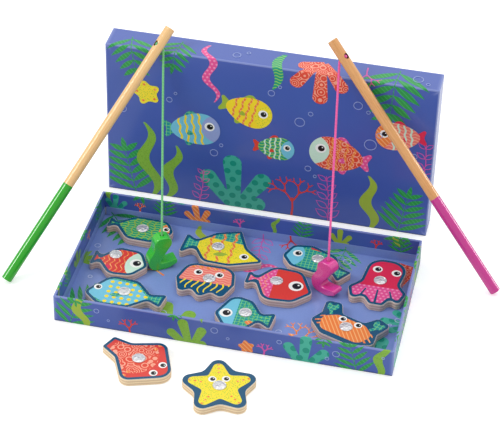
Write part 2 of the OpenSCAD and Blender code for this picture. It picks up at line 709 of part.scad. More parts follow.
module tube(p) {
    sides = 8;
    n = len(p);
    across = [1, 0, 0];
    points = [for (i = [0 : n - 1])
        let (way = unit(p[min(i + 1, n - 1)] - p[max(i - 1, 0)]), u = unit(cross(way, across)), w = cross(way, u))
        for (k = [0 : sides - 1]) p[i] + string_d / 2 * (u * cos(360 * k / sides) + w * sin(360 * k / sides))];
    skin = [for (i = [0 : n - 2], k = [0 : sides - 1])
        let (a = i * sides + k, b = i * sides + (k + 1) % sides)
        each [[a, b, b + sides], [a, b + sides, a + sides]]];
    first = [for (k = [sides - 1 : -1 : 0]) k];
    last = [for (k = [0 : sides - 1]) (n - 1) * sides + k];
    polyhedron(points, concat([first], skin, [last]));
}

module green_string() color(GREEN) tube(string_line(GREEN_ROD, GREEN_STAND));
module pink_string() color(PINK) tube(string_line(PINK_ROD, PINK_STAND));

// Hooks: the face's outline carried through the thickness, with a hole for the string and a pocket for the magnet

module stand(hook_place) translate([hook_place[0].x, hook_place[0].y, floor_z]) rotate(hook_place[1]) children();

module hook(hook_place) {
    stand(hook_place) difference() {
        translate([0, hook_t / 2, 0]) rotate([90, 0, 0]) linear_extrude(hook_t) outline(grown(HOOK, hook_k));
        translate([0, 0, hook_h - hook_hole_l]) cylinder(d = hook_hole_d, h = hook_hole_l + 1, $fn = 32);
        translate([magnet_x, 0, magnet_skin - magnet_gap])
            cylinder(d = magnet_d + 2 * magnet_gap, h = magnet_t + 2 * magnet_gap, $fn = 40);
    }
}

module magnet(hook_place) {
    color(MAGNET) stand(hook_place) translate([magnet_x, 0, magnet_skin]) cylinder(d = magnet_d, h = magnet_t, $fn = 40);
}

module green_hook() color(GREEN_PAINT) hook(GREEN_STAND);
module pink_hook() color(PINK_PAINT) hook(PINK_STAND);
module green_magnet() magnet(GREEN_STAND);
module pink_magnet() magnet(PINK_STAND);

tray();
tray_liner();
lid();
tray_print();
liner_print();
lid_print();
creature_wood(SOLE);  // sole_wood
sole_label();
creature_cap(SOLE);  // sole_cap
creature_wood(PERCH);  // perch_wood
perch_label();
creature_cap(PERCH);  // perch_cap
creature_wood(WRASSE);  // wrasse_wood
wrasse_label();
creature_cap(WRASSE);  // wrasse_cap
creature_wood(ANGELFISH);  // angelfish_wood
angelfish_label();
creature_cap(ANGELFISH);  // angelfish_cap
creature_wood(JELLYFISH);  // jellyfish_wood
jellyfish_label();
creature_cap(JELLYFISH);  // jellyfish_cap
creature_wood(PUFFER);  // puffer_wood
puffer_label();
creature_cap(PUFFER);  // puffer_cap
creature_wood(DAMSEL);  // damsel_wood
damsel_label();
creature_cap(DAMSEL);  // damsel_cap
creature_wood(OCTOPUS);  // octopus_wood
octopus_label();
creature_cap(OCTOPUS);  // octopus_cap
creature_wood(CRAB);  // crab_wood
crab_label();
creature_cap(CRAB);  // crab_cap
creature_wood(CHROMIS);  // chromis_wood
chromis_label();
creature_cap(CHROMIS);  // chromis_cap
creature_wood(RAY);  // ray_wood
ray_label();
creature_cap(RAY);  // ray_cap
creature_wood(STARFISH);  // starfish_wood
starfish_label();
creature_cap(STARFISH);  // starfish_cap
green_rod();
green_string();
green_knot();
green_hook();
green_magnet();
pink_rod();
pink_string();
pink_knot();
pink_hook();
pink_magnet();
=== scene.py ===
import math
from functools import partialmethod

import bpy
import numpy as np
from mathutils import Matrix, Vector
from mathutils.geometry import delaunay_2d_cdt


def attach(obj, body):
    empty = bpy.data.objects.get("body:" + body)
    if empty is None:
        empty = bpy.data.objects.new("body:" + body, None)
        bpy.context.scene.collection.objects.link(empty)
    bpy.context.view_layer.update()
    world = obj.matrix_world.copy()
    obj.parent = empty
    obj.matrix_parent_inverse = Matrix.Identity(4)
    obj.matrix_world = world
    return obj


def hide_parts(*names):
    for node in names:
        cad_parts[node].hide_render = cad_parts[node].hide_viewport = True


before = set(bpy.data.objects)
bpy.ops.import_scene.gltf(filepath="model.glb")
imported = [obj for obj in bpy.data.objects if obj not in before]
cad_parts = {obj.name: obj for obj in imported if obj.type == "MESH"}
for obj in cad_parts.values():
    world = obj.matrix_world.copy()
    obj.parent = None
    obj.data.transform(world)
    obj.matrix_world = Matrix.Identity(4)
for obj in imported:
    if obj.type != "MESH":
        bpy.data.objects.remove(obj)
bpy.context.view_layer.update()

MM = 0.001

# Sizes from the construction, in millimetres
tray_l, tray_w, tray_h, board_t, edge_r, rim_r = 310, 162, 28.5, 2, 1, 0.7
paper_t, turn_in, liner_t, liner_h, liner_gap, corner_slit = 0.2, 17.5, 0.6, 10, 0.2, 0.8
lid_l, lid_w, lid_d, lid_x, lid_y = 316, 168, 29, -4, 124
ink_t, ply_t, label_t, label_edge, border_w, star_r = 0.15, 7, 0.2, 0.4, 2.9, 40.5
cap_d, cap_h, cap_rim = 12, 1.5, 0.4
rod_d, rod_l, handle_l, paint_t, rod_bevel = 9.8, 278, 105, 0.1, 0.6
string_hole_at, string_hole_d, knot_pocket_z, rest_gap, lip_gap = 19, 3.8, 0.5, 0.15, 0.7
hook_h, hook_t, hook_r, hook_hole_d, hook_hole_l = 36.4, 11.6, 0.9, 3, 7
string_d, knot_d, lip_bend, hook_bend = 2.2, 4.2, 4.4, 20
wall_t = board_t + paper_t
floor_z = board_t + liner_t + ink_t
label_top = ply_t + label_t + 2 * ink_t

# Rods: bearing, length beyond the lid's edge, place on the lid, turn of the string hole. Hooks: place, turn
GREEN_ROD, PINK_ROD = (57.7, 23.9, -111.6, -20), (156.4, 44.4, 79.5, 0)
GREEN_STAND, PINK_STAND = ((-79.2, 15.4), 32), ((77.4, 16.6), -29)

# Sizes of the surfaces here: a rim's inner round, points at a box corner; what a print leaves bare at its
# sides, foot and end, half of a flat sheet; sawn edges, dents in a cap; a string's twist, a hook's rings and
# its hole
lip_r, corner_points = 0.45, 7
print_edge, print_foot, print_end, sheet_half = 1.2, 0.6, 0.1, 100
saw_r, wood_inset, dent_depth, dent_r = 0.35, 0.06, 0.18, 1.1
strand_pitch, hook_step, hook_dip = 5.2, 0.35, 4.5


# Camera: the photograph's own view, with its right, up and ahead directions

camera_place, camera_lens, film_width = (285.80, -1359.21, 1161.63), 140.93, 36
camera_right = (0.97557, 0.21849, 0.02287)
camera_up = (-0.15091, 0.59085, 0.79254)
camera_ahead = (-0.15965, 0.77663, -0.60939)


def link(name, data):
    """Puts a new object with this data into the scene."""
    obj = bpy.data.objects.new(name, data)
    bpy.context.scene.collection.objects.link(obj)
    return obj


def set_camera():
    """Camera whose axes are right, up and backwards, as the columns of its matrix."""
    cam = bpy.data.cameras.new("camera")
    cam.sensor_width, cam.lens, cam.clip_end = film_width, camera_lens, 50
    obj = link("camera", cam)
    turn = Matrix((camera_right, camera_up, [-a for a in camera_ahead])).transposed().to_4x4()
    obj.matrix_world = Matrix.Translation(Vector(camera_place) * MM) @ turn
    bpy.context.scene.camera = obj


set_camera()


# Vectors, angles and lengths

def unit(v):
    """The vector divided by its length."""
    return np.asarray(v, float) / np.linalg.norm(v)


def cosd(a):
    """Cosine of an angle in degrees."""
    return np.cos(np.radians(a))


def sind(a):
    """Sine of an angle in degrees."""
    return np.sin(np.radians(a))


def circle(n):
    """n angles that part a full turn evenly, in radians."""
    return np.linspace(0, 2 * np.pi, n, endpoint=False)


def distances(line):
    """Length along a line from its start to each of its points: the sums of its steps."""
    return np.r_[0, np.cumsum(np.linalg.norm(np.diff(line, axis=0), axis=1))]


# Rods and strings: the same formulas as in the construction

def heading(bearing, tilt):
    """Unit vector at an angle about the vertical and an angle above the ground."""
    return np.array([cosd(bearing) * cosd(tilt), sind(bearing) * cosd(tilt), sind(tilt)])


def on_edge(way):
    """From the lid's upper edge to the axis of a rod on it: radius and gap, square to edge and rod."""
    slope = math.atan2(way[2], way[1])
    return (rod_d / 2 + rest_gap) * np.array([0, -math.sin(slope), math.cos(slope)])


def rod_way(rod):
    """Direction of a rod from foot to tip. The sine of its tilt is the height between its foot, which stands
    on its bevelled edge, and the lid's edge, by the length between them; a few steps find it."""
    span, r = rod_l - rod[1], rod_d / 2 + paint_t
    tilt = math.degrees(math.asin(lid_w / span))
    for _ in range(6):
        way = heading(rod[0], tilt)
        level = math.hypot(way[0], way[1])
        foot = max((r - rod_bevel) * level, r * level - rod_bevel * way[2]) + rest_gap / 3
        tilt = math.degrees(math.asin((lid_w + on_edge(way)[2] - foot) / span))
    return heading(rod[0], tilt)


def lean_point(rod):
    """The point of a rod's axis that is nearest to the lid's edge."""
    return np.array([rod[2], lid_y, lid_w]) + on_edge(rod_way(rod))


def hole_out(rod):
    """Direction from the string hole to the knot: upwards square to the rod, turned round the rod's axis."""
    way = rod_way(rod)
    level = math.hypot(way[0], way[1])
    down = np.array([way[0] * way[2], way[1] * way[2], -level * level]) / level
    side = np.array([-way[1], way[0], 0]) / level
    return -down * cosd(rod[3]) - side * sind(rod[3])


def hole_middle(rod):
    """Where the string hole crosses the rod's axis, string_hole_at from the tip."""
    return lean_point(rod) + (rod[1] - string_hole_at) * rod_way(rod)


def bend(a, b, c, r):
    """Arc of radius r that rounds the bend at b on the way from a to c; its middle lies r / sin(half the
    angle at b) from b."""
    back, on = unit(a - b), unit(c - b)
    half = math.acos(back @ on) / 2
    middle = b + unit(back + on) * r / math.sin(half)
    first = unit(b + back * r / math.tan(half) - middle)
    turn = math.pi - 2 * half
    steps = math.ceil(math.degrees(turn) / 15)
    t = np.linspace(0, turn, steps + 1)[:, None]
    return middle + r * (first * np.cos(t) - back * np.sin(t))


def string_line(rod, stand):
    """Middle line of a string: through the rod's hole, round its lip, straight to the hook and down into
    it."""
    out, middle = hole_out(rod), hole_middle(rod)
    hook_top = np.array([*stand[0], floor_z + hook_h])
    over_hook = hook_top + [0, 0, 0.4 * hook_bend]
    pull = over_hook - middle
    aside = unit(pull - out * (out @ pull)) * (string_hole_d - string_d) / 3
    start = middle + out * knot_pocket_z
    below = middle - out * (rod_d / 2 + lip_gap) - aside
    in_hook = hook_top - [0, 0, hook_hole_l - string_d]
    first, second = bend(start, below, over_hook, lip_bend), bend(below, over_hook, in_hook, hook_bend)
    n = math.ceil(np.linalg.norm(second[0] - first[-1]) / (3 * string_d))
    between = first[-1] + (second[0] - first[-1]) * np.linspace(0, 1, n + 1)[1:-1, None]
    return np.vstack([[start], first, between, second, [in_hook]])


# Meshes

def add_mesh(name, verts, faces, materials, nodes, uv=None, sharp=35, which=None, data=None):
    """A piece from vertices in millimetres and faces, which stands for the named nodes and rides on the root
    body."""
    mesh = bpy.data.meshes.new(name)
    mesh.from_pydata((np.asarray(verts, float) * MM).tolist(), [], [list(map(int, f)) for f in faces])
    mesh.shade_smooth()
    mesh.set_sharp_from_angle(angle=math.radians(sharp))
    if uv is not None:
        corner = np.empty(len(mesh.loops), np.int32)
        mesh.loops.foreach_get("vertex_index", corner)
        layer = mesh.uv_layers.new(name="UVMap")
        layer.data.foreach_set("uv", np.asarray(uv, np.float32)[corner].ravel())
    for key, values in (data or {}).items():
        attribute = mesh.attributes.new(key, "FLOAT", "POINT")
        attribute.data.foreach_set("value", np.asarray(values, np.float32))
    for material in materials:
        mesh.materials.append(material)
    if which is not None:
        mesh.polygons.foreach_set("material_index", np.asarray(which, np.int32))
    obj = link(name, mesh)
    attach(obj, "root")
    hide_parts(*nodes)
    return obj


def loft(rings, flip=False):
    """Closed solid from rings of equally many points, which run counter-clockwise round the way from first to
    last."""
    n, m = len(rings), len(rings[0])
    i, k = np.meshgrid(np.arange(n - 1), np.arange(m), indexing="ij")
    a, b = i * m + k, i * m + (k + 1) % m
    quads = np.stack([a, b, b + m, a + m], -1).reshape(-1, 4)
    first, last = list(range(m))[::-1], [(n - 1) * m + k for k in range(m)]
    faces = [first, *quads.tolist(), last]
    return np.concatenate(rings), [f[::-1] for f in faces] if flip else faces


def carried_frames(line, first_side):
    """Two directions across a line at each point, without twist: each pair is carried over from the one
    before."""
    way = np.gradient(line, axis=0)
    way /= np.linalg.norm(way, axis=1)[:, None]
    u, pairs = unit(np.cross(way[0], first_side)), []
    for w in way:
        u = unit(u - w * (u @ w))
        pairs.append((u, np.cross(w, u)))
    return pairs


def resample(line, step):
    """The same line with points about one step apart, and their distance along it."""
    s = distances(line)
    t = np.linspace(0, s[-1], max(2, int(s[-1] / step)))
    return np.stack([np.interp(t, s, line[:, k]) for k in range(line.shape[1])], 1), t


# Outlines: lists of corners [x, y, rounding radius], counter-clockwise, as in the construction

def corner_arc(a, b, c, r, step):
    """Points on the arc that rounds the corner b between a and c, one in each step of degrees. It starts r /
    tan(half the angle) from b, but at most 0.49 of a side; an almost straight corner stays a point."""
    u, w = unit(a - b), unit(c - b)
    half = math.acos(max(-1, min(1, u @ w))) / 2
    if r <= 0 or half > math.radians(89.5):
        return [b]
    reach = min(r / math.tan(half), 0.49 * np.linalg.norm(a - b), 0.49 * np.linalg.norm(c - b))
    radius = reach * math.tan(half)
    middle = b + unit(u + w) * radius / math.sin(half)
    first = b + u * reach - middle
    turn = (math.pi - 2 * half) * -np.sign(u[0] * w[1] - u[1] * w[0])
    t = math.atan2(first[1], first[0]) + np.linspace(0, turn, math.ceil(abs(math.degrees(turn)) / step) + 1)
    return list(middle + radius * np.stack([np.cos(t), np.sin(t)], 1))


def rounded(corners, step=6):
    """Points of an outline whose corners are all rounded."""
    c, points = [np.array(q[:2], float) for q in corners], []
    for i, b in enumerate(c):
        points += corner_arc(c[i - 1], b, c[(i + 1) % len(c)], corners[i][2], step)
    return np.array(points)


def drawn_in(corners, d):
    """Corners of the outline moved inwards by d: by d (m + n) / (1 + m n), m and n being the inward normals
    of the two sides. Radii get less by d where the outline bulges, and more where it bays."""
    c, result = [np.array(q[:2], float) for q in corners], []
    for i, b in enumerate(c):
        (mx, my), (nx, ny) = unit(b - c[i - 1]), unit(c[(i + 1) % len(c)] - b)
        m, n = np.array([-my, mx]), np.array([-ny, nx])
        bulges = m[0] * n[1] - m[1] * n[0] > 0
        p = b + (m + n) * d / (1 + m @ n)
        result.append([*p, max(0.2, corners[i][2] + (-d if bulges else d))])
    return result


def inset(corners, d, step=6):
    """Points of an outline moved inwards by d, with its corners rounded."""
    return rounded(drawn_in(corners, d), step)


# Artwork: polygons on a sheet that lies on a flat place or is folded over edges

class Sheet:
    """Maps (s, t) on printed paper to space. s runs along side; t runs along a path in the plane of the
    directions a and b. The path is a polyline, with the paper's outer side to its left. The print keeps to
    limit, which is the least and the greatest s and t; without a greatest t it goes almost to the path's
    end."""

    def __init__(self, origin, side, a, b, path, limit):
        self.origin, self.side, self.a, self.b = (np.array(v, float) for v in (origin, side, a, b))
        self.path = np.array(path, float)
        self.t = distances(self.path)
        self.limit = [*limit[:3], self.t[-1] - print_end if limit[3] is None else limit[3]]
        step = np.diff(self.path, axis=0)
        across = np.stack([-step[:, 1], step[:, 0]], 1) / np.linalg.norm(step, axis=1)[:, None]
        both = np.vstack([across[:1], across[:-1] + across[1:], across[-1:]])
        self.normal = both / np.linalg.norm(both, axis=1)[:, None]
        self.flip = np.cross(self.side, self.a) @ self.b < 0

    def at(self, p, h):
        """Points at (s, t), lifted by h: origin + s side + the path's point at t + h times the normal
        there."""
        q = [np.interp(p[:, 1], self.t, self.path[:, k]) + h * np.interp(p[:, 1], self.t, self.normal[:, k])
             for k in (0, 1)]
        return self.origin + p[:, :1] * self.side + q[0][:, None] * self.a + q[1][:, None] * self.b


def flat_sheet(origin, turn, limit=(-99, 99, -99, 99)):
    """Level paper, turned by an angle, with the origin at (0, sheet_half)."""
    side, up = (cosd(turn), sind(turn), 0), (-sind(turn), cosd(turn), 0)
    path = [(0, 0), (2 * sheet_half, 0)]
    return Sheet(origin - sheet_half * np.array(up), side, up, (0, 0, 1), path, limit)


def inside(points, polygon):
    """Even and odd rule, for many points at once."""
    x, y = points[:, :1], points[:, 1:2]
    a, b = polygon, np.roll(polygon, -1, 0)
    crosses = (a[:, 1] > y) != (b[:, 1] > y)
    with np.errstate(divide="ignore", invalid="ignore"):
        at = a[:, 0] + (y - a[:, 1]) * (b[:, 0] - a[:, 0]) / (b[:, 1] - a[:, 1])
    return ((crosses & (x < at)).sum(1) % 2).astype(bool)


def triangulated(loops, folds):
    """Points and triangles of the plane, with the loops and the fold lines as edges between triangles."""
    verts, edges = [tuple(p) for p in np.concatenate(loops)], []
    start = 0
    for q in loops:
        edges += [(start + k, start + (k + 1) % len(q)) for k in range(len(q))]
        start += len(q)
    for ax, ay, bx, by in folds:
        edges.append((len(verts), len(verts) + 1))
        verts += [(ax, ay), (bx, by)]
    points, _, faces, *_ = delaunay_2d_cdt([Vector(v) for v in verts], edges, [], 0, 1e-5)
    return np.array([tuple(p) for p in points]), np.array([tuple(f) for f in faces])


def counter_clockwise(points, faces):
    """Triangles turned the same way round by the sign of their area, without those that have none."""
    p, q = points[faces[:, 1]] - points[faces[:, 0]], points[faces[:, 2]] - points[faces[:, 0]]
    area = p[:, 0] * q[:, 1] - p[:, 1] * q[:, 0]
    return np.where(area[:, None] < 0, faces[:, ::-1], faces)[np.abs(area) > 1e-9]


def prism(faces, n):
    """Faces of a closed prism: the triangles over n points, the same n points further on, and a wall under
    each edge that has a triangle on one side only."""
    sides = np.concatenate([faces[:, [0, 1]], faces[:, [1, 2]], faces[:, [2, 0]]])
    known = set(map(tuple, sides))
    rim = np.array([e for e in map(tuple, sides) if e[::-1] not in known]).reshape(-1, 2)
    walls = np.stack([rim[:, 1], rim[:, 0], rim[:, 0] + n, rim[:, 1] + n], 1)
    return [*faces.tolist(), *(faces[:, ::-1] + n).tolist(), *walls.tolist()]


def field(sheet, any_of, low, high, within=(), cut=(), shift=0):
    """Closed prism over the union of some polygons, within others and without the cut ones, from height low
    to high over the sheet. A triangle belongs to it by where its middle lies."""
    loops = [np.asarray(q, float) + (0, shift) for q in [*any_of, *within, *cut]]
    everything = np.concatenate(loops)
    (x0, y0), (x1, y1) = everything.min(0) - 1, everything.max(0) + 1
    s0, s1, t0, t1 = np.add(sheet.limit, (0, 0, shift, shift))
    folds = [(s, y0, s, y1) for s in (s0, s1) if x0 < s < x1]
    folds += [(x0, t, x1, t) for t in [t0, t1, *sheet.t] if y0 < t < y1]
    points, faces = triangulated(loops, folds)
    middle = points[faces].mean(1)
    masks = [inside(middle, q) for q in loops]
    n_any, n_within = len(any_of), len(any_of) + len(within)
    keep = np.any(masks[:n_any], 0) & (middle > (s0, t0)).all(1) & (middle < (s1, t1)).all(1)
    for mask in masks[n_any:n_within]:
        keep &= mask
    for mask in masks[n_within:]:
        keep &= ~mask
    used, faces = np.unique(counter_clockwise(points, faces[keep]), return_inverse=True)
    points, faces = points[used], faces.reshape(-1, 3)
    solid = prism(faces, len(points))
    if sheet.flip:
        solid = [f[::-1] for f in solid]
    return np.vstack([sheet.at(points, high), sheet.at(points, low)]), solid, np.vstack([points, points])


class Artwork:
    """Fields of ink on a sheet, gathered into one piece, each with its material. Polygons are moved by shift
    along t, and each field is a little higher than the one before, so that no two tops lie in one plane."""

    def __init__(self, sheet, shift=0):
        self.sheet, self.shift = sheet, shift
        self.verts, self.faces, self.uv, self.which, self.inks = [], [], [], [], []
        self.count, self.rise = 0, 0.0

    def add(self, ink, any_of, low=0.0, high=0.03, within=(), cut=()):
        """One more field, from height low to high."""
        self.rise += 0.005
        verts, faces, uv = field(self.sheet, any_of, low, high + self.rise, within, cut, self.shift)
        if not faces:
            return
        if ink not in self.inks:
            self.inks.append(ink)
        self.verts.append(verts)
        self.uv.append(uv)
        self.faces += [[v + self.count for v in f] for f in faces]
        self.which += [self.inks.index(ink)] * len(faces)
        self.count += len(verts)

    def make(self, name, slot, nodes):
        """The piece with all fields, if there are any."""
        if self.count:
            verts, uv = np.concatenate(self.verts), np.concatenate(self.uv)
            add_mesh(name, verts, self.faces, self.inks, nodes, uv, 30, self.which)


# Motifs: polygons in millimetres

def moved(polygons, x, y, turn=0, k=1):
    """Polygons scaled by k, turned by an angle and set at (x, y)."""
    spin = np.array([[cosd(turn), sind(turn)], [-sind(turn), cosd(turn)]])
    return [k * np.asarray(q, float) @ spin + (x, y) for q in polygons]


def disc(x, y, r, n=28):
    """Circle of n points round (x, y)."""
    t = circle(n)
    return np.stack([x + r * np.cos(t), y + r * np.sin(t)], 1)


def leaf(length, width):
    """Pointed at both ends; the half width follows a sine that leans to the foot."""
    t = np.linspace(0, 1, 15)
    w = width / 2 * np.sin(np.pi * t ** 0.85)
    return np.r_[np.stack([w, length * t], 1), np.stack([-w, length * t], 1)[-2:0:-1]]


def ribbon(line, first, last):
    """Strip along a line whose width goes from first to last, round at the far end."""
    line = np.array(line, float)
    way = np.gradient(line, axis=0)
    side = np.stack([-way[:, 1], way[:, 0]], 1) / np.linalg.norm(way, axis=1)[:, None]
    w = np.linspace(first, last, len(line))[:, None] / 2
    t = np.linspace(0, np.pi, 7)[1:-1, None]
    tip = line[-1] - last / 2 * (side[-1] * np.cos(t) - unit(way[-1]) * np.sin(t))
    return np.r_[line - w * side, tip, (line + w * side)[::-1]]


def fern(h, pairs, lean=58):
    """Stem with pairs of leaves that shorten towards the tip."""
    parts = [ribbon([(0, 0), (0, h * 0.5), (0, h)], 1.1, 0.5), *moved([leaf(h * 0.3, h * 0.1)], 0, h * 0.9)]
    for i in range(pairs):
        for side in (-1, 1):
            one = leaf(h * (0.62 - 0.36 * i / pairs), h * 0.11)
            parts += moved([one], 0, h * (i + 0.4) / pairs, -side * lean)
    return parts


def sprig(h, pairs, lean=52):
    """Stem with pairs of leaves drawn only as outlines: solid parts and cut parts."""
    solid, cut = [ribbon([(0, 0), (h * 0.03, h * 0.5), (0, h)], 0.9, 0.7)], []
    for i in range(pairs):
        for side in (-1, 1):
            y, size = h * (i + 0.5) / pairs, h * (0.28 - 0.1 * i / pairs)
            solid += moved([leaf(size, size * 0.5)], 0, y, -side * lean)
            cut += moved([leaf(size - 1.8, size * 0.5 - 1.4)], side * 0.7, y + 0.55, -side * lean)
    return solid, cut


def kelp(h, w, waves=1.5):
    """Blade whose middle line sways by a sine and whose half width follows the sine from 20 to 170
    degrees."""
    t = np.linspace(0, 1, 26)
    line = np.stack([0.07 * h * np.sin(2 * np.pi * waves * t), h * t], 1)
    half = np.stack([w / 2 * np.sin(np.radians(20 + 150 * t)), 0 * t], 1)
    return [np.r_[line - half, (line + half)[::-1]]]


def finger_coral(h):
    """Arms that widen from one foot and end round, each with its length, half width and lean."""
    arms = []
    for length, w, lean in ((1, 0.26, 4), (0.82, 0.24, 38), (0.86, 0.24, -34), (0.5, 0.22, -66)):
        foot, tip, top = h * w * 0.3, h * w * 0.6, h * length
        arm = rounded([[-foot, 0, 0], [foot, 0, 0], [tip, top, h * w * 0.55], [-tip, top, h * w * 0.55]])
        arms += moved([arm], 0, 0, lean)
    return arms


def fan_coral(length, depth, w=1.8):
    """Stem that forks again and again."""
    parts = [ribbon([(0, 0), (length * 0.03, length * 0.5), (0, length)], w, w * 0.8)]
    if depth:
        for lean in (36, -30):
            parts += moved(fan_coral(length * 0.68, depth - 1, w * 0.85), 0, length * 0.82, lean)
    return parts


def egg(length, h):
    """Trunk of a fish: an oval whose height is scaled by 1 + 0.22 cos t, so that it is higher towards the
    head."""
    t = circle(48)
    return np.stack([length * (0.06 + 0.42 * np.cos(t)), h * np.sin(t) * (1 + 0.22 * np.cos(t))], 1)


def star(tip, tip_round, bay, bay_round):
    """Corners of a five-pointed star: tips and bays at two distances from its middle, 36 degrees apart."""
    return [[r * cosd(a + 72 * i), r * sind(a + 72 * i), c]
            for i in range(5) for r, a, c in ((tip, 90, tip_round), (bay, 126, bay_round))]


def half_plane(x0, x1):
    """Everything between x0 and x1, as far as a creature reaches."""
    return np.array([(x0, -90), (x1, -90), (x1, 90), (x0, 90)], float)


def bars(first, step, count, width, wave=0):
    """Upright bars from y = -45 to 45, with edges that wave by a sine of y."""
    y = np.linspace(-45, 45, 61)
    middles = [first + step * i + wave * np.sin(y * 0.55) for i in range(count)]
    return [np.r_[np.stack([x - width / 2, y], 1), np.stack([x + width / 2, y], 1)[::-1]] for x in middles]


# Materials

def srgb(r, g, b):
    """Shader colour of a colour as it looks on a screen, each from 0 to 255: a straight line for the darkest
    values, then a power of 2.4."""
    c = np.array([r, g, b]) / 255
    return (*np.where(c <= 0.04045, c / 12.92, ((c + 0.055) / 1.055) ** 2.4), 1.0)


class Value:
    """An output of a shader node that takes arithmetic as a number does; a comparison gives 1 or 0."""

    def __init__(self, tree, socket):
        self.tree, self.socket = tree, socket

    def math(self, operation, *others):
        """The result of a Math node on this value and the others."""
        return self.tree.node("Math", {"operation": operation}, [self, *others])

    def __rsub__(self, number):
        """A number less this value."""
        return self.tree.node("Math", {"operation": "SUBTRACT"}, [number, self])

    __add__, __sub__ = partialmethod(math, "ADD"), partialmethod(math, "SUBTRACT")
    __mul__, __truediv__ = partialmethod(math, "MULTIPLY"), partialmethod(math, "DIVIDE")
    __gt__, __lt__ = partialmethod(math, "GREATER_THAN"), partialmethod(math, "LESS_THAN")


class Shader:
    """A material with one Principled shader, whose constants are named with _ for each space."""

    def __init__(self, name, **constants):
        self.material = bpy.data.materials.new(name)
        self.material.use_nodes = True
        self.nodes, self.links = self.material.node_tree.nodes, self.material.node_tree.links
        self.principled = self.nodes["Principled BSDF"]
        for key, value in constants.items():
            self.principled.inputs[key.replace("_", " ")].default_value = value

    def node(self, kind, settings=None, inputs=(), out=0):
        """One output of a new node; an input is a Value to link, a constant, or None to leave it."""
        node = self.nodes.new("ShaderNode" + kind)
        for key, value in (settings or {}).items():
            setattr(node, key, value)
        for key, value in (inputs.items() if isinstance(inputs, dict) else enumerate(inputs)):
            if isinstance(value, Value):
                self.links.new(value.socket, node.inputs[key])
            elif value is not None:
                node.inputs[key].default_value = value
        return Value(self, node.outputs[out])

    def paint(self, **sockets):
        """Links values to the shader's sockets and gives the finished material."""
        for key, value in sockets.items():
            self.links.new(value.socket, self.principled.inputs[key.replace("_", " ")])
        return self.material

    def place(self):
        """Place on the object, in metres."""
        return self.node("TexCoord", out="Object")

    def vector(self, x, y, z=None):
        """A vector from two or three values."""
        return self.node("CombineXYZ", {}, [x, y, z])

    def noise(self, scale, vector=None, detail=2, roughness=0.5, distortion=0):
        """Smooth noise from 0 to 1."""
        return self.node("TexNoise", {}, {"Vector": vector or self.place(), "Scale": scale, "Detail": detail,
                                          "Roughness": roughness, "Distortion": distortion})

    def mix(self, factor, a, b):
        """Colour a (1 - factor) + b factor."""
        return self.node("Mix", {"data_type": "RGBA"}, {"Factor": factor, "A": a, "B": b}, out=2)

    def bump(self, height, strength, distance):
        """Normal of the surface as if it were raised by height times distance, in metres."""
        return self.node("Bump", {}, {"Height": height, "Strength": strength, "Distance": distance})


# Inks and papers

def shade(colour, k):
    """A colour made darker or lighter by the factor k."""
    return tuple(min(1, c * k) for c in colour[:3]) + (1,)


def surface_uv(s):
    """The two coordinates of a printed surface, in millimetres."""
    split = s.node("SeparateXYZ", {}, [s.node("UVMap", {"uv_map": "UVMap"})])
    return split, Value(s, split.socket.node.outputs[1])


def dots(s, u, v, pitch, radius):
    """1 inside round dots in staggered rows, 0 elsewhere."""
    row_height = 0.87
    row = v / (pitch * row_height)
    odd = row.math("FLOOR").math("MODULO", 2).math("ABSOLUTE")
    x = (u / pitch + odd * 0.5).math("FRACT") - 0.5
    y = (row.math("FRACT") - 0.5) * row_height
    return (x * x + y * y).math("SQRT") < radius / pitch


def pattern(s, kind):
    """Share of the second colour at each place of an ink: dots, speckles, rings round cells, slanted lines,
    wavy lines or checks."""
    u, v = surface_uv(s)
    if kind == "dots":
        return dots(s, u, v, 11, 3.2)
    if kind == "small":
        return dots(s, u, v, 4.4, 1.1)
    if kind == "hatch":
        return ((u + v) * 1.3).math("SINE") > 0.72
    if kind == "wave":
        return (v * 1.9 + (u * 0.8).math("SINE") * 1.2).math("SINE") > 0.6
    if kind == "check":
        return (u * 1.7).math("SINE").math("MAXIMUM", (v * 1.7).math("SINE")) > 0.86
    if kind == "speckle":
        return s.node("TexVoronoi", {}, {"Vector": s.vector(u, v), "Scale": 0.75, "Randomness": 1.0}) < 0.3
    cell = s.node("TexVoronoi", {}, {"Vector": s.vector(u, v), "Scale": 0.13, "Randomness": 0.6})
    return (cell * 26).math("SINE") > 0.45


def ink(name, colour, second=None, kind=None):
    """Printed ink: its colour and pattern, with fine paper grain and a satin varnish."""
    s = Shader(name, Coat_Weight=0.4, Coat_Roughness=0.16, Specular_IOR_Level=0.2)
    grain = s.noise(700, detail=3)

    def grained(rgb):
        """The colour times 0.93 to 1.07, by the grain."""
        base = srgb(*rgb)
        return s.mix(grain, shade(base, 0.93), shade(base, 1.07))

    tone = s.mix(pattern(s, kind), grained(colour), grained(second)) if second else grained(colour)
    fibre = s.noise(1500, detail=2)
    return s.paint(Base_Color=tone, Roughness=fibre * 0.1 + 0.33, Normal=s.bump(fibre, 0.04, 0.0002))


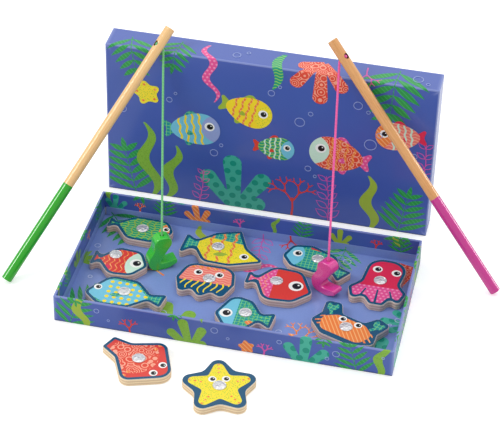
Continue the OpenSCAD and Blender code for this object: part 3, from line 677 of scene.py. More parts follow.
def wrap_material(name, colour, scuff_highlight_colour, coat):
    """Printed wrap paper: colour that clouds slightly, fibres, pale scuffs with a painted highlight along
    folds, where the attribute fold is 1, and painted shade along the edge on the ground, where it is -1."""
    s = Shader(name, Coat_Roughness=0.16, Coat_Weight=coat, Specular_IOR_Level=0.3)
    base = srgb(*colour)
    cloud, fibre = s.noise(14, detail=3), s.noise(1400, detail=3, roughness=0.7)
    fold = s.node("Attribute", {"attribute_name": "fold"}, out=2)
    # pale line on folds: real scuffs in the speckles, and a painted highlight in the even part
    scuff_and_highlight = fold * 0.42 + fold * (s.noise(260, detail=4, roughness=0.7) > 0.66) * 0.2
    tone = s.mix(cloud, shade(base, 0.95), shade(base, 1.05))
    tone = s.mix(fibre * 0.12, tone, shade(base, 0.75))
    tone = s.mix(scuff_and_highlight, tone, srgb(*scuff_highlight_colour))
    # painted shade: the edge on the ground is darkened towards a fifth of the base colour
    tone = s.mix(fold * -0.75, tone, shade(base, 0.2))
    rough = fibre * 0.12 + 0.28 + fold.math("ABSOLUTE") * 0.1
    relief = s.bump(s.noise(90, detail=4) + fibre * 0.3, 0.05, 0.0006)
    return s.paint(Base_Color=tone, Roughness=rough, Normal=relief)


INK_COLOURS = {
    "green": ((44, 150, 74), (60, 176, 92), "hatch"),
    "lime": ((132, 182, 62), (108, 160, 52), "speckle"),
    "teal": ((66, 180, 156), (22, 150, 128), "dots"),
    "coral": ((226, 70, 46), (246, 168, 142), "rings"),
    "rose": ((232, 82, 150), (246, 150, 190), "small"),
    "orange": ((240, 130, 62), (250, 186, 120), "hatch"),
    "leaf": ((30, 160, 120), (150, 208, 90), "wave"),
    "sea": ((24, 150, 150), (120, 206, 130), "check"),
    "blush": ((240, 122, 112), (250, 176, 150), "wave"),
    "lemon": ((246, 226, 46), (170, 200, 50), "speckle"),
    "red": ((222, 62, 52),),
    "pink": ((214, 84, 172),),
    "crimson": ((226, 44, 84),),
    "yellow": ((250, 222, 40),),
    "olive": ((160, 186, 60),),
    "aqua": ((116, 198, 224),),
    "mint": ((206, 236, 216),),
    "sky": ((150, 166, 218),),
    "haze": ((190, 204, 240),),
    "navy": ((0, 80, 118),),
    "white": ((248, 248, 244),),
    "black": ((24, 22, 22),)}
INK = {name: ink(name + "_ink", *look) for name, look in INK_COLOURS.items()}
INK["paper"] = ink("paper_edge", (240, 238, 230))


def bubble(x, y, r):
    """A thin ring: a disc with a smaller disc cut out."""
    return {"any_of": [disc(x, y, r)], "cut": [disc(x, y, r - 0.55 - 0.02 * r)]}


# Fish on the lid, as shares of their length: corners of tail and fins

TAIL = [[-0.2, 0, 0], [-0.52, 0.22, 0.05], [-0.43, 0, 0.1], [-0.52, -0.22, 0.05]]
BACK_FIN = [[-0.16, 0.2, 0.02], [0.2, 0.2, 0.02], [0.02, 0.4, 0.1]]
BELLY_FIN = [[-0.12, -0.36, 0.05], [0.1, -0.2, 0.02], [-0.16, -0.2, 0.02]]
SIDE_FIN = [[-0.06, -0.02, 0.02], [0.06, -0.1, 0.03], [-0.12, -0.14, 0.05]]
EYE = (0.31, 0.05)


def eye(art, x, y, r, h):
    """White disc, dark pupil and a small glint, each a little higher than the one before."""
    art.add(INK["white"], [disc(x, y, r)], 0, h)
    art.add(INK["black"], [disc(x + r * 0.08, y, r * 0.62)], 0, h + 0.02)
    art.add(INK["white"], [disc(x + r * 0.28, y + r * 0.22, r * 0.13, 12)], 0, h + 0.035)


def fish(art, place, turn, length, inks, mirror=1):
    """A plain fish: egg-shaped trunk with wavy bars, a head field, a forked tail, three fins and an eye."""
    body, head, tail, fin, bar = (INK[name] for name in inks)

    def spot(polygons):
        """Polygons of a fish of length 1, mirrored, turned, enlarged and moved to its place."""
        turned = [(q * (1, mirror))[::mirror] for q in polygons]
        return moved(turned, *place, turn, length)

    trunk = spot([egg(1, 0.3)])
    art.add(tail, spot([rounded(TAIL)]))
    art.add(fin, spot([rounded(BACK_FIN), rounded(BELLY_FIN)]))
    art.add(body, trunk, 0, 0.04)
    art.add(bar, spot([q / 60 for q in bars(-12, 7, 4, 2.2, 0.8)]), 0, 0.05, within=trunk)
    art.add(head, spot([disc(0.44, 0, 0.27)]), 0, 0.055, within=trunk)
    art.add(fin, spot([rounded(SIDE_FIN)]), 0, 0.06)
    eye(art, *spot([np.array([EYE])])[0][0], 0.085 * length, 0.065)


# Boxes: rigid board wrapped in printed paper

def ring_of(half_l, half_w, r):
    """Rounded rectangle, counter-clockwise, with 7 points at each corner and 6 more on each side."""
    t = np.radians(np.linspace(0, 90, corner_points))
    parts, points = [], []
    for k, (sx, sy) in enumerate([(1, -1), (1, 1), (-1, 1), (-1, -1)]):
        angle = t + np.radians(90 * (k - 1))
        x, y = sx * (half_l - r) + r * np.cos(angle), sy * (half_w - r) + r * np.sin(angle)
        parts.append(np.stack([x, y], 1))
    for k in range(4):
        a, b = parts[k][-1], parts[(k + 1) % 4][0]
        near = np.array([0.8, 3]) / np.linalg.norm(b - a)
        points += [parts[k], a + (b - a) * np.r_[near, 0.35, 0.65, 1 - near[::-1]][:, None]]
    return np.concatenate(points)


def quarter_turn(x, y, r, start, end, n=5):
    """Points on an arc of radius r round (x, y), between two angles in degrees."""
    return [(x + r * cosd(a), y + r * sind(a)) for a in np.linspace(start, end, n)]


def face_round(r, angles):
    """Inset and depth on the quarter round between a face, at 0 degrees, and a side, at 90."""
    return [(r * (1 - sind(a)), r * (1 - cosd(a))) for a in angles]


def shell_profile(h):
    """Inset and height from the underside's edge, round it, up the wall, over the rim and down to the floor
    inside, with how much each point lies on a fold."""
    step = h - turn_in
    down = [(edge_r - x, y) for x, y in quarter_turn(0, edge_r, edge_r, 270, 360)]
    rim = [(rim_r - x, y) for x, y in quarter_turn(0, h - rim_r, rim_r, 0, 90)]
    lip = [(wall_t - lip_r - x, y) for x, y in quarter_turn(0, h - lip_r, lip_r, 90, 180)]
    points = [(6, 0), (edge_r + 0.6, 0), *down, (0, edge_r + 0.8), (0, h / 2), (0, h - rim_r - 0.7), *rim,
              *lip, (wall_t, h - 1.2), (wall_t, step + 0.05), (wall_t - 0.1, step), (board_t, step - 0.01),
              (board_t, board_t)]
    fold = [0, 0, *[1] * len(down), 0, 0, 0, *[1] * len(rim), *[0.8] * len(lip), 0, 0, 0.4, 0, 0]
    return points, fold


def make_shell(name, l, w, h, place, flip, materials):
    """Closed box shell as one surface over (place round the box, place along the profile). Below the paper
    that is turned in, its inside is bare lining. The attribute fold says how much scuff and painted highlight
    a place gets, or is -1 at the ground, where the paper gets painted shade."""
    points, fold = shell_profile(h)
    on_corner = np.tile(np.r_[np.ones(corner_points), 0.4, np.zeros(4), 0.4], 4)
    rings, folds, uv, along = [], [], [], 0.0
    for i, (d, z) in enumerate(points):
        ring = ring_of(l / 2 - d, w / 2 - d, max(edge_r - d, 0.25))
        rings.append(place(np.column_stack([ring, np.full(len(ring), z)])))
        # scuffs and painted highlight on folds and on the box's upright corners
        scuff_and_highlight = np.maximum(fold[i], on_corner * (d <= edge_r + 1))
        # -1 on the edge on the ground, which the wrap darkens as painted shade
        folds.append(np.where(rings[-1][:, 2] < edge_r + 0.2, -1, scuff_and_highlight))
        along += math.dist(points[i - 1], points[i]) if i else 0
        uv.append(np.column_stack([distances(ring), np.full(len(ring), along)]))
    verts, faces = loft(rings, flip)
    m, lining_from = len(rings[0]), len(points) - 3
    which = [0, *[int(k // m >= lining_from) for k in range((len(points) - 1) * m)], 1]
    add_mesh(name + "_shell", verts, faces, materials, [name], np.concatenate(uv), 35, which,
             {"fold": np.concatenate(folds)})


def stand_lid(p):
    """Turns the lid from lying to standing on its long side, with its face to the front."""
    return np.column_stack([p[:, 0] + lid_x, p[:, 2] + lid_y, p[:, 1] + lid_w / 2])


# the second colour is the pale of scuffs and painted highlight on folds
WRAP = wrap_material("blue_wrap", (66, 92, 176), (168, 180, 228), 0.6)
LINING = ink("grey_lining", (206, 204, 196))
make_shell("tray", tray_l, tray_w, tray_h, lambda p: p, False, [WRAP, LINING])
make_shell("lid", lid_l, lid_w, lid_d, stand_lid, True, [WRAP, LINING])


# Prints on the tray: plants and bubbles along each wall, over the rim and down inside

STAR_CORNERS = star(star_r, 8, 0.58 * star_r, 9)

# Motif, share of the wall's length, height, turn, size, ink
LONG = [
    ("fern", -0.455, -3, -16, 40, "green"), ("kelp", -0.405, -4, 12, 46, "olive"),
    ("fan", -0.27, -2, 6, 22, "red"), ("finger", -0.09, -6, 10, 34, "lime"),
    ("star", 0.075, 7, 12, 18, "orange"), ("fan", 0.125, -1, -8, 18, "pink"),
    ("finger", 0.24, -7, -8, 38, "teal"), ("fern", 0.4, -4, 14, 36, "green"),
    ("kelp", 0.455, -4, -8, 44, "lime")]
LONG_RIM = [
    ("fern", -0.44, 49, 186, 24, "green"), ("fan", -0.36, 49, 172, 14, "red"),
    ("finger", -0.25, 51, 176, 20, "olive"), ("fern", -0.13, 49, 172, 22, "green"),
    ("kelp", -0.04, 50, 168, 24, "lime"), ("fan", 0.06, 49, 190, 14, "pink"),
    ("finger", 0.19, 52, 188, 24, "orange"), ("fern", 0.3, 49, 178, 24, "green"),
    ("fan", 0.38, 48, 176, 13, "coral"), ("finger", 0.46, 51, 172, 20, "teal")]
SHORT = [
    ("finger", -0.33, -6, 12, 34, "teal"), ("fern", -0.12, -4, -12, 36, "green"),
    ("fan", 0.12, -1, 8, 22, "red"), ("kelp", 0.3, -4, 8, 46, "lime"), ("fern", 0.42, -4, 10, 34, "green")]
SHORT_RIM = [
    ("fern", -0.36, 49, 176, 22, "green"), ("fan", -0.16, 49, 186, 14, "orange"),
    ("finger", 0.08, 51, 178, 20, "lime"), ("fern", 0.28, 49, 170, 22, "green"),
    ("kelp", 0.42, 50, 190, 22, "olive")]
BAND_BUBBLES = [
    (-0.37, 20, 2.6), (-0.335, 11, 1.4), (-0.02, 20, 3.4), (0.02, 13, 1.6), (0.17, 19, 2.4), (0.31, 9, 2),
    (0.335, 16, 3.4), (0.47, 20, 1.5)]


def motif(kind, size):
    """Polygons of one plant, or of a star, about as tall as its size."""
    if kind == "fern":
        return fern(size, 5)
    if kind == "fan":
        return fan_coral(size * 0.42, 3)
    if kind == "finger":
        return finger_coral(size)
    if kind == "kelp":
        return kelp(size, size * 0.2)
    return [rounded(STAR_CORNERS) * size / (2 * star_r)]


def tray_side(turn, half, l):
    """Sheet of one wall of the tray, from outside: s to the right, t up, over the rim and down inside."""
    out, side = np.array([sind(turn), -cosd(turn), 0]), np.array([cosd(turn), sind(turn), 0])
    path = [(edge_r, 0), *quarter_turn(edge_r, edge_r, edge_r, 250, 180, 4),
            *quarter_turn(rim_r, tray_h - rim_r, rim_r, 180, 90, 4),
            *quarter_turn(wall_t - lip_r, tray_h - lip_r, lip_r, 90, 0, 4), (wall_t, tray_h - turn_in)]
    limit = (print_edge - l / 2, l / 2 - print_edge, print_foot, None)
    return Sheet(half * out, side, -out, (0, 0, 1), path, limit)


def tray_pictures():
    """One picture for each wall of the tray, the long ones and the short ones alike."""
    for k in range(4):
        short = k % 2
        l, across = (tray_w, tray_l) if short else (tray_l, tray_w)
        motifs = SHORT + SHORT_RIM if short else LONG + LONG_RIM
        art = Artwork(tray_side(90 * k, across / 2, l))
        for kind, share, y, turn, size, colour in motifs:
            art.add(INK[colour], moved(motif(kind, size), share * l, y, turn))
        for x, y, r in BAND_BUBBLES:
            art.add(INK["sky"], **bubble(x * l, y, r))
        art.make("tray_picture_%d" % k, "print", ["tray_print"])


tray_pictures()


# Lid's picture: one sheet over the face, the top side and its rim

def lid_sheet():
    """Sheet up the lid's face, over its top side to the rim and into the hollow."""
    inner = lid_w - wall_t
    path = [(edge_r, 0), *quarter_turn(edge_r, edge_r, edge_r, 250, 180, 4),
            *quarter_turn(edge_r, lid_w - edge_r, edge_r, 180, 90, 5),
            *quarter_turn(lid_d - rim_r, lid_w - rim_r, rim_r, 90, 0, 4),
            *quarter_turn(lid_d - lip_r, inner + lip_r, lip_r, 0, -90, 3), (lid_d - turn_in, inner)]
    limit = (print_edge - lid_l / 2, lid_l / 2 - print_edge, print_foot, None)
    return Sheet((lid_x, lid_y, 0), (1, 0, 0), (0, 1, 0), (0, 0, 1), path, limit)


def lid_plants(top):
    """Ink, polygons, place and turn of each plant; those near the top hang down over the fold."""
    return [
        ("green", fern(54, 6), -130, 1, 12), ("lime", kelp(64, 12), -98, 0, -8),
        ("lime", kelp(86, 13), -112, 0, 6), ("teal", finger_coral(64), -30, -2, 0),
        ("red", fan_coral(22, 4, 2.2), 26, 0, 0), ("green", fern(48, 6), 130, 0, -10),
        ("olive", kelp(62, 12), 104, 0, 5), ("green", fern(62, 6), 118, top + 24, 176),
        ("rose", kelp(70, 8, 2), -62, top + 22, 188), ("coral", finger_coral(50), 48, top + 18, 176),
        ("green", fern(46, 5), -136, top + 18, 190), ("green", fern(38, 5), -88, top + 22, 172),
        ("pink", fan_coral(14, 3, 1.4), 88, top + 22, 184), ("leaf", kelp(48, 10, 1), 10, top + 24, 172)]


LID_FISH = [
    ((-22, 116), -14, 54, ("yellow", "lemon", "olive", "olive", "orange")),
    ((70, 80), 172, 62, ("coral", "mint", "rose", "rose", "orange"), -1),
    ((-74, 86), 8, 58, ("aqua", "sky", "sea", "sea", "yellow")),
    ((6, 78), 0, 42, ("leaf", "aqua", "red", "red", "mint")),
    ((126, 112), 186, 50, ("blush", "orange", "crimson", "crimson", "mint"), -1)]
LID_BUBBLES = [
    (-52, 62, 4), (-45, 72, 2), (30, 112, 5), (40, 123, 2.5), (98, 98, 6), (106, 110, 3), (-142, 98, 4),
    (-96, 116, 3), (-90, 124, 1.7), (2, 140, 3.4), (10, 148, 1.8), (84, 140, 4.4), (94, 134, 2),
    (140, 92, 3), (40, 60, 3.2), (47, 52, 1.8)]
LID_TOP_BUBBLES = [(-34, 12, 4), (-24, 18, 2), (136, 14, 5), (146, 8, 2)]


def lid_picture():
    """Plants, sprigs, fish, a small starfish and bubbles."""
    art, top = Artwork(lid_sheet()), lid_w - 0.3
    for colour, polygons, x, y, turn in lid_plants(top):
        art.add(INK[colour], moved(polygons, x, y, turn))
    for x, y, turn, size, pairs in [(62, 0, 4, 54, 5), (-66, 0, -6, 40, 4), (150, 62, 0, 46, 4)]:
        solid, cut = sprig(size, pairs)
        art.add(INK["pink"], moved(solid, x, y, turn), cut=moved(cut, x, y, turn))
    for one in LID_FISH:
        fish(art, *one)
    x, y, k = -118, 120, 0.4
    art.add(INK["lemon"], moved([rounded(STAR_CORNERS)], x, y, 15, k))
    spots = [disc(x + 24 * k * cosd(a), y + 24 * k * sind(a), 1.3, 14) for a in range(105, 460, 72)]
    art.add(INK["orange"], spots, 0, 0.05)
    for x, y, r in LID_BUBBLES + [(x, top + y, r) for x, y, r in LID_TOP_BUBBLES]:
        art.add(INK["sky"], **bubble(x, y, r))
    art.make("lid_picture", "print", ["lid_print"])


lid_picture()


# Liner: printed card in the tray

def leaf_cluster(size):
    """Three leaves from one foot."""
    return [q for k, width, turn in ((1, 0.24, 14), (0.8, 0.22, -24), (0.7, 0.2, 48))
            for q in moved([leaf(size * k, size * width)], 0, 0, turn)]


def liner_fields():
    """Ink, polygons and cut polygons of each field, drawn for the unfolded card."""
    plants = [
        ("green", fern(42, 5), -146, -62, -40), ("lime", finger_coral(46), -50, -78, 12),
        ("orange", fan_coral(14, 4), -74, 2, 60), ("rose", kelp(58, 6), 28, 38, 100),
        ("orange", fan_coral(16, 4), 56, -66, -30), ("teal", finger_coral(44), 136, -78, -8),
        ("coral", finger_coral(40), 152, 68, 150), ("olive", kelp(46, 9), -58, 82, 200),
        ("green", fern(46, 5), -146, 82, 216), ("leaf", fern(40, 5), 84, 84, 170),
        ("lime", leaf_cluster(26), -158, 6, -80), ("teal", finger_coral(30), 162, -12, 84),
        ("red", fan_coral(12, 3), 30, 92, 186), ("green", fern(30, 4), -8, -90, 10)]
    fields = [(INK[colour], moved(polygons, x, y, turn), []) for colour, polygons, x, y, turn in plants]
    solid, cut = sprig(48, 4)
    fields.append((INK["pink"], moved(solid, 4, 84, 184), moved(cut, 4, 84, 184)))
    bubbles = [
        (-146, 30, 3), (-76, 24, 3.6), (-10, 30, 3), (58, 6, 3), (88, 64, 4), (46, -50, 3), (-62, -50, 4),
        (-140, -16, 2.2), (148, -8, 3), (142, -16, 1.6), (-2, -66, 3)]
    return fields + [(INK["haze"], ring["any_of"], ring["cut"]) for ring in (bubble(*b) for b in bubbles)]


def liner_picture():
    """One drawing for the unfolded card: its middle lies flat and its four edges stand up."""
    reach = np.array([tray_l, tray_w]) / 2 - wall_t - liner_gap - liner_t
    floor, margin, hem = board_t + liner_t, 0.2, 20
    rx, ry = reach - margin
    sheets = [(flat_sheet((0, 0, floor), 0, (-rx, rx, -ry, ry)), sheet_half, 0)]
    for k in range(4):
        out, side = np.array([cosd(90 * k), sind(90 * k), 0]), np.array([sind(90 * k), -cosd(90 * k), 0])
        depth, half = reach[k % 2], reach[1 - k % 2] - corner_slit
        path = [(depth - hem, floor), (depth, floor), (depth, board_t + liner_h)]
        limit = (-half, half, depth + margin, depth + liner_h - liner_t - 0.3)
        sheets.append((Sheet((0, 0, 0), side, out, (0, 0, 1), path, limit), hem - depth, 90 - 90 * k))
    fields = liner_fields()
    for k, (sheet, shift, turn) in enumerate(sheets):
        art = Artwork(sheet, shift)
        for colour, polygons, holes in fields:
            art.add(colour, moved(polygons, 0, 0, turn), 0, 0.04, cut=moved(holes, 0, 0, turn))
        art.make("liner_picture_%d" % k, "print", ["liner_print"])


def dress(node, material):
    """Gives a node of the construction its material."""
    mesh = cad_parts[node].data
    mesh.materials.clear()
    mesh.materials.append(material)


liner_picture()
dress("tray_liner", ink("blue_card", (126, 150, 212)))


# Creatures: place, turn, outline as in the construction

SOLE = ((-109, 56, floor_z), 0, [
    [-35, -7, 2], [-26, 0, 4], [-12, -18, 12], [14, -19, 12], [31, 0, 7], [22, 17, 12], [-10, 18, 14],
    [-26, 5, 4], [-34, 12, 2]])
PERCH = ((-123, 12, floor_z), 0, [
    [-21, -22, 2], [-13, -13, 4], [0, -29, 12], [22, -27, 12], [34, -10, 8], [24, 10, 12], [0, 12, 12],
    [-13, -4, 4], [-20, 6, 2]])
WRASSE = ((-101, -38, floor_z), 0, [
    [-37, -8, 7], [-20, -23, 13], [8, -22, 14], [24, -8, 5], [37, -15, 2.5], [40, 5, 2.5], [25, 2, 5],
    [10, 18, 12], [-18, 20, 14]])
ANGELFISH = ((-33, 47, floor_z), 0, [
    [-35, -19, 2.5], [-22, -6, 5], [-10, -25, 12], [16, -26, 14], [48, -13, 4], [28, 4, 12], [17, 29, 3],
    [-6, 21, 14], [-22, 6, 5], [-33, 14, 2.5]])
JELLYFISH = ((-30, -1, floor_z), 0, [
    [-31, -4, 7], [-24, -25, 5], [-13, -18, 4], [-4, -28, 5], [6, -19, 4], [17, -25, 5], [25, -4, 7],
    [21, 20, 14], [-24, 20, 14]])
PUFFER = ((31, 11, floor_z), 0, [
    [-29, -12, 2.5], [-19, -5, 4], [-8, -29, 13], [20, -27, 13], [36, -10, 6], [22, 19, 13], [-6, 21, 13],
    [-19, 3, 4], [-28, 10, 2.5]])
DAMSEL = ((62, 52, floor_z), 0, [
    [-34, -2, 7], [-24, -16, 10], [0, -21, 12], [15, -17, 4], [23, -29, 2.5], [35, -12, 2.5], [23, -8, 4],
    [17, 8, 12], [-8, 19, 14], [-27, 16, 10]])
OCTOPUS = ((124, 35, floor_z), 0, [
    [-28, -14, 6], [-23, -32, 6], [-12, -25, 4], [-5, -35, 5], [8, -35, 5], [13, -25, 4], [22, -31, 6],
    [27, -14, 6], [19, -3, 8], [24, 31, 16], [-14, 32, 16], [-18, -3, 8]])
CRAB = ((105, -37, floor_z), -20, [
    [-16, -20, 10], [16, -20, 10], [33, -8, 6], [29, 6, 4], [34, 23, 5], [19, 27, 5], [11, 14, 4],
    [-11, 14, 4], [-19, 27, 5], [-34, 23, 5], [-29, 6, 4], [-33, -8, 6]])
CHROMIS = ((13, -40, floor_z), 0, [
    [-28, -6, 7], [-16, -24, 12], [4, -24, 12], [14, -10, 4], [26, -18, 2.5], [28, 6, 2.5], [15, 2, 4],
    [4, 18, 12], [-16, 23, 12]])
RAY = ((-65, -120, 0), -25, [
    [39, 0, 12], [6, 32, 9], [-18, 12, 10], [-36, 9, 3], [-36, -8, 3], [-18, -12, 10], [6, -32, 9]])
STARFISH = ((12, -137, 0), 15, STAR_CORNERS)


def plywood(name, red, green, blue):
    """Birch plywood: five plies with dark glue lines by height, grain along each second ply, end grain on the
    others, and tones scaled by red, green and blue. u is the distance round the outline, v the height."""

    def tint(r, g, b):
        """A wood tone times this piece's red, green and blue."""
        return srgb(r * red, g * green, b * blue)

    s = Shader(name, Specular_IOR_Level=0.3)
    u, v = surface_uv(s)
    wobble = s.noise(1, s.vector(u * 0.05, v), 3)
    ply = (v + wobble * 0.35 - 0.17) * (5 / ply_t)
    cross = ply.math("FLOOR").math("MODULO", 2)
    glue = (ply.math("FRACT") - 0.5).math("ABSOLUTE") > 0.43
    streak = s.noise(1, s.vector(u * 0.12, v * 4), 5, 0.65)
    pores = s.noise(1, s.vector(u * 6, v * 5), 4, 0.7)
    long_ply = s.mix(streak, tint(222, 200, 172), tint(250, 236, 212))
    end_ply = s.mix(pores, tint(190, 162, 138), tint(236, 214, 186))
    tone = s.mix(glue * 0.4, s.mix(cross, long_ply, end_ply), tint(140, 114, 98))
    grain = s.bump(pores + streak - glue * 0.8, 0.25, 0.0003)
    return s.paint(Base_Color=tone, Roughness=pores * 0.2 + 0.5, Normal=grain)


def hammered():
    """Hammered steel: cells of small dents, with fine scratches and a grey film in the dents."""
    s = Shader("hammered_steel", Metallic=0.75)
    cells = {"Vector": s.place(), "Scale": 620, "Smoothness": 0.4}
    dent = s.node("TexVoronoi", {"feature": "SMOOTH_F1"}, cells)
    scratch = s.noise(2600, detail=4)
    tone = s.mix(scratch * 0.5 + dent * 0.4, srgb(255, 255, 255), srgb(214, 214, 216))
    relief = s.bump(dent + scratch * 0.1, 0.75, 0.0009)
    return s.paint(Base_Color=tone, Roughness=scratch * 0.16 + 0.28, Normal=relief)


# Lit and shaded copies of one birch: the lighter one for creatures on the table, the darker, more mauve one
# as painted shade for those in the tray
LIT_PLY = plywood("lit_plywood", 1.06, 1.04, 0.98)
SHADED_PLY = plywood("plywood", 0.97, 0.93, 0.99)
STEEL = hammered()


def make_wood(name, creature):
    """Sawn body: the outline carried up through the thickness, drawn in by a quarter round at both faces."""
    (x, y, z), turn, corners = creature
    foot = face_round(saw_r, (0, 30, 60, 90))
    levels = foot + [(0, ply_t * k / 5) for k in range(1, 5)] + [(d, ply_t - h) for d, h in foot[::-1]]
    rings, uv = [], []
    for d, h in levels:
        ring = moved([inset(corners, d + wood_inset)], x, y, turn)[0]
        rings.append(np.column_stack([ring, np.full(len(ring), z + h)]))
        uv.append(np.column_stack([distances(ring), np.full(len(ring), h)]))
    verts, faces = loft(rings)
    # painted shade: creatures in the tray get the darker copy of the plywood
    material = SHADED_PLY if z else LIT_PLY
    add_mesh(name + "_body", verts, faces, [material], [name + "_wood"], np.concatenate(uv), 40)


def make_cap(name, creature):
    """Low dome with a turned rim: its height falls with the fourth power of the distance from the middle,
    less round dents at seeded places. Rings run from the rim to the middle."""
    x, y, z = creature[0]
    edge, angle = cap_d / 2, circle(60)
    rim_top = cap_rim + 0.2
    rim = [(edge - 0.1, -0.02), (edge, 0.08), (edge, cap_rim + 0.05), (edge - 0.12, rim_top),
           (edge - 0.42, rim_top)]
    reach = np.linspace(edge - 0.62, 0.12, 15)
    rise = cap_rim - 0.12 + (cap_h - cap_rim - 0.2) * (1 - (reach / (edge - 0.6)) ** 4)
    dents = np.random.default_rng(sum(map(ord, name))).uniform(-1, 1, (46, 2)) * (edge - 0.8)
    rings = []
    for r, h in [*rim, *zip(reach, rise)]:
        p = np.stack([r * np.cos(angle), r * np.sin(angle)], 1)
        near = np.linalg.norm(p[:, None] - dents[None], axis=2).min(1)
        dip = dent_depth * np.clip(1 - near / dent_r, 0, 1) * (r < edge - 0.5)
        rings.append(np.column_stack([p + (x, y), z + label_top + h - dip]))
    verts, faces = loft(rings)
    add_mesh(name + "_dome", verts, faces, [STEEL], [name + "_cap"], sharp=50)


# Labels: each creature's picture, drawn in its own place with its outline as the body

class Label(Artwork):
    """Glued paper label: white paper, its dark printed ground, and the animal's fields of colour above it."""

    def __init__(self, creature):
        (x, y, z), turn, corners = creature
        super().__init__(flat_sheet((x, y, z + ply_t), turn), sheet_half)
        self.body = inset(corners, label_edge + border_w)
        self.add(INK["paper"], [inset(corners, label_edge)], 0, 0.3)
        self.add(INK["navy"], [inset(corners, label_edge + 0.12)], 0.2, 0.34)

    def paint(self, colour, any_of, level, within=None, cut=()):
        """A field inside the body, or inside the polygons given; a higher level covers a lower one."""
        within = [self.body] if within is None else within
        self.add(INK[colour], any_of, 0.3, 0.35 + 0.01 * level, within, cut)

    def ground(self, colour):
        """The whole body in one ink."""
        self.paint(colour, [self.body], 1, ())

    def look(self, x, y, r):
        """An eye: white disc, pupil and glint."""
        for level, colour, dx, dy, k in (
                (4, "white", 0, 0, 1), (5, "black", 0.1, 0, 0.62), (6, "white", 0.3, 0.22, 0.14)):
            self.paint(colour, [disc(x + dx * r, y + dy * r, k * r)], level, ())


# Each picture in the order of its levels: the ground, the fields on it, the eyes

def draw_sole(art):
    art.ground("leaf")
    art.paint("olive", bars(-22, 6.5, 6, 1.1, 1.2), 2)
    art.paint("orange", [disc(31, 1, 15)], 3)
    art.look(22, 4, 3.5)
    art.look(24, -4, 2.9)


def draw_perch(art):
    art.ground("red")
    art.paint("orange", bars(-15, 5, 7, 1.2, 1.4), 2)
    art.paint("mint", [disc(34, -10, 22)], 3)
    art.paint("crimson", moved([leaf(11, 6)], 1, -20, 80), 3)
    art.look(22, -8, 6.1)


def draw_wrasse(art):
    trunk = [[-40, -6, 4], [-14, -19, 12], [10, -17, 12], [24, -5, 5], [10, 12, 12], [-16, 15, 12]]
    art.ground("sea")
    art.paint("aqua", [rounded(trunk)], 2)
    art.paint("yellow", [disc(x, y, 1.9, 18) for x in range(-14, 24, 7) for y in range(-17, 18, 7)], 3)
    art.paint("sea", moved([leaf(12, 5)], -12, -7, -84), 3)
    art.look(-25, 1, 3.8)


def draw_angelfish(art):
    back_fin = [[-12, 12, 3], [28, 8, 3], [30, 40, 3], [-12, 40, 3]]
    art.ground("lemon")
    art.paint("sea", [half_plane(-50, -19), rounded(back_fin)], 2)
    art.paint("orange", bars(-8, 11, 3, 2.4, 1), 2)
    art.paint("olive", moved([leaf(14, 6)], -2, -12, -78), 3)
    art.look(27, -9, 4.4)


def draw_jellyfish(art):
    bell = np.array([(-60, -6), (60, -6), (60, 60), (-60, 60)])
    drift = np.linspace(0, 1, 16)
    arms = [ribbon([(x + 2.2 * math.sin(t * 5 + x), -5 - 17 * t) for t in drift], 1.6, 1)
            for x in range(-23, 22, 6)]
    art.paint("blush", [half_plane(-60, 60)], 1, [art.body, bell])
    art.paint("yellow", arms, 1)
    art.paint("orange", [disc(x, 15, 2.2) for x in range(-18, 18, 7)], 2)
    art.look(-12, 7, 4.2)
    art.look(8, 7, 4.2)


def draw_puffer(art):
    art.ground("red")
    art.paint("rose", [half_plane(-50, -2)], 2)
    art.paint("blush", bars(-24, 5, 4, 1.3, 1.4), 3)
    art.look(19, -3, 6.9)


def draw_damsel(art):
    art.ground("sea")
    art.paint("aqua", [disc(-34, 2, 21)], 2)
    art.paint("red", [rounded([[-10, 13, 2], [14, 9, 2], [10, 24, 3], [-6, 24, 3]])], 2)
    art.paint("blush", moved([leaf(11, 6)], 2, -8, -110), 3)
    art.look(-20, 4, 4.6)


def draw_octopus(art):
    skirt = np.array([(-40, -50), (40, -50), (40, -9), (-40, -9)])
    slits = [ribbon([(x, -34), (x * 0.9, -24), (x * 0.7, -14)], 2.6, 1.4) for x in (-16, 0, 16)]
    art.ground("crimson")
    art.paint("rose", [skirt], 2)
    art.paint("navy", slits, 3)
    art.look(-5, 16, 4.6)
    art.look(13, 14, 4.6)


def draw_crab(art):
    shell = rounded([[-20, -14, 8], [20, -14, 8], [26, 2, 8], [14, 11, 8], [-14, 11, 8], [-26, 2, 8]])
    legs = [ribbon([(s * 14, 0), (s * 24, y), (s * 31, y - 5)], 2.6, 1.2)
            for s in (-1, 1) for y in (3, -3, -9)]
    claws = [disc(s * 25, 19, 6.5) for s in (-1, 1)]
    arms = [ribbon([(s * 20, 8), (s * 24, 14)], 3, 3) for s in (-1, 1)]
    art.paint("orange", [shell, *legs], 1)
    art.paint("sea", [*claws, *arms], 1, [art.body], [leaf(9, 5) + (s * 25, 19) for s in (-1, 1)])
    art.look(-8, 8, 3.8)
    art.look(8, 8, 3.8)


def draw_chromis(art):
    art.ground("sea")
    art.paint("leaf", bars(-2, 6, 5, 1.4, 1.6), 2)
    art.paint("aqua", [half_plane(-50, -8)], 2)
    art.paint("orange", moved([leaf(10, 6)], 2, -12, -100), 3)
    art.look(-17, -4, 5.9)


def draw_ray(art):
    art.ground("red")
    art.paint("coral", [disc(-6, 0, 23)], 2)
    art.paint("orange", [disc(4, s * y, 1.8, 16) for s in (-1, 1) for y in (19, 25)], 3)
    art.look(22, 6.5, 3.8)
    art.look(22, -6.5, 3.8)


def draw_starfish(art):
    spots = [disc(r * cosd(a), r * sind(a), 1.1, 14) for a in range(90, 450, 72) for r in (17, 22, 27)]
    art.paint("lemon", [rounded(star(37, 5, 16, 4))], 1)
    art.paint("orange", spots, 2)
    art.look(-6, 8.5, 3.6)
    art.look(6, 8.5, 3.6)


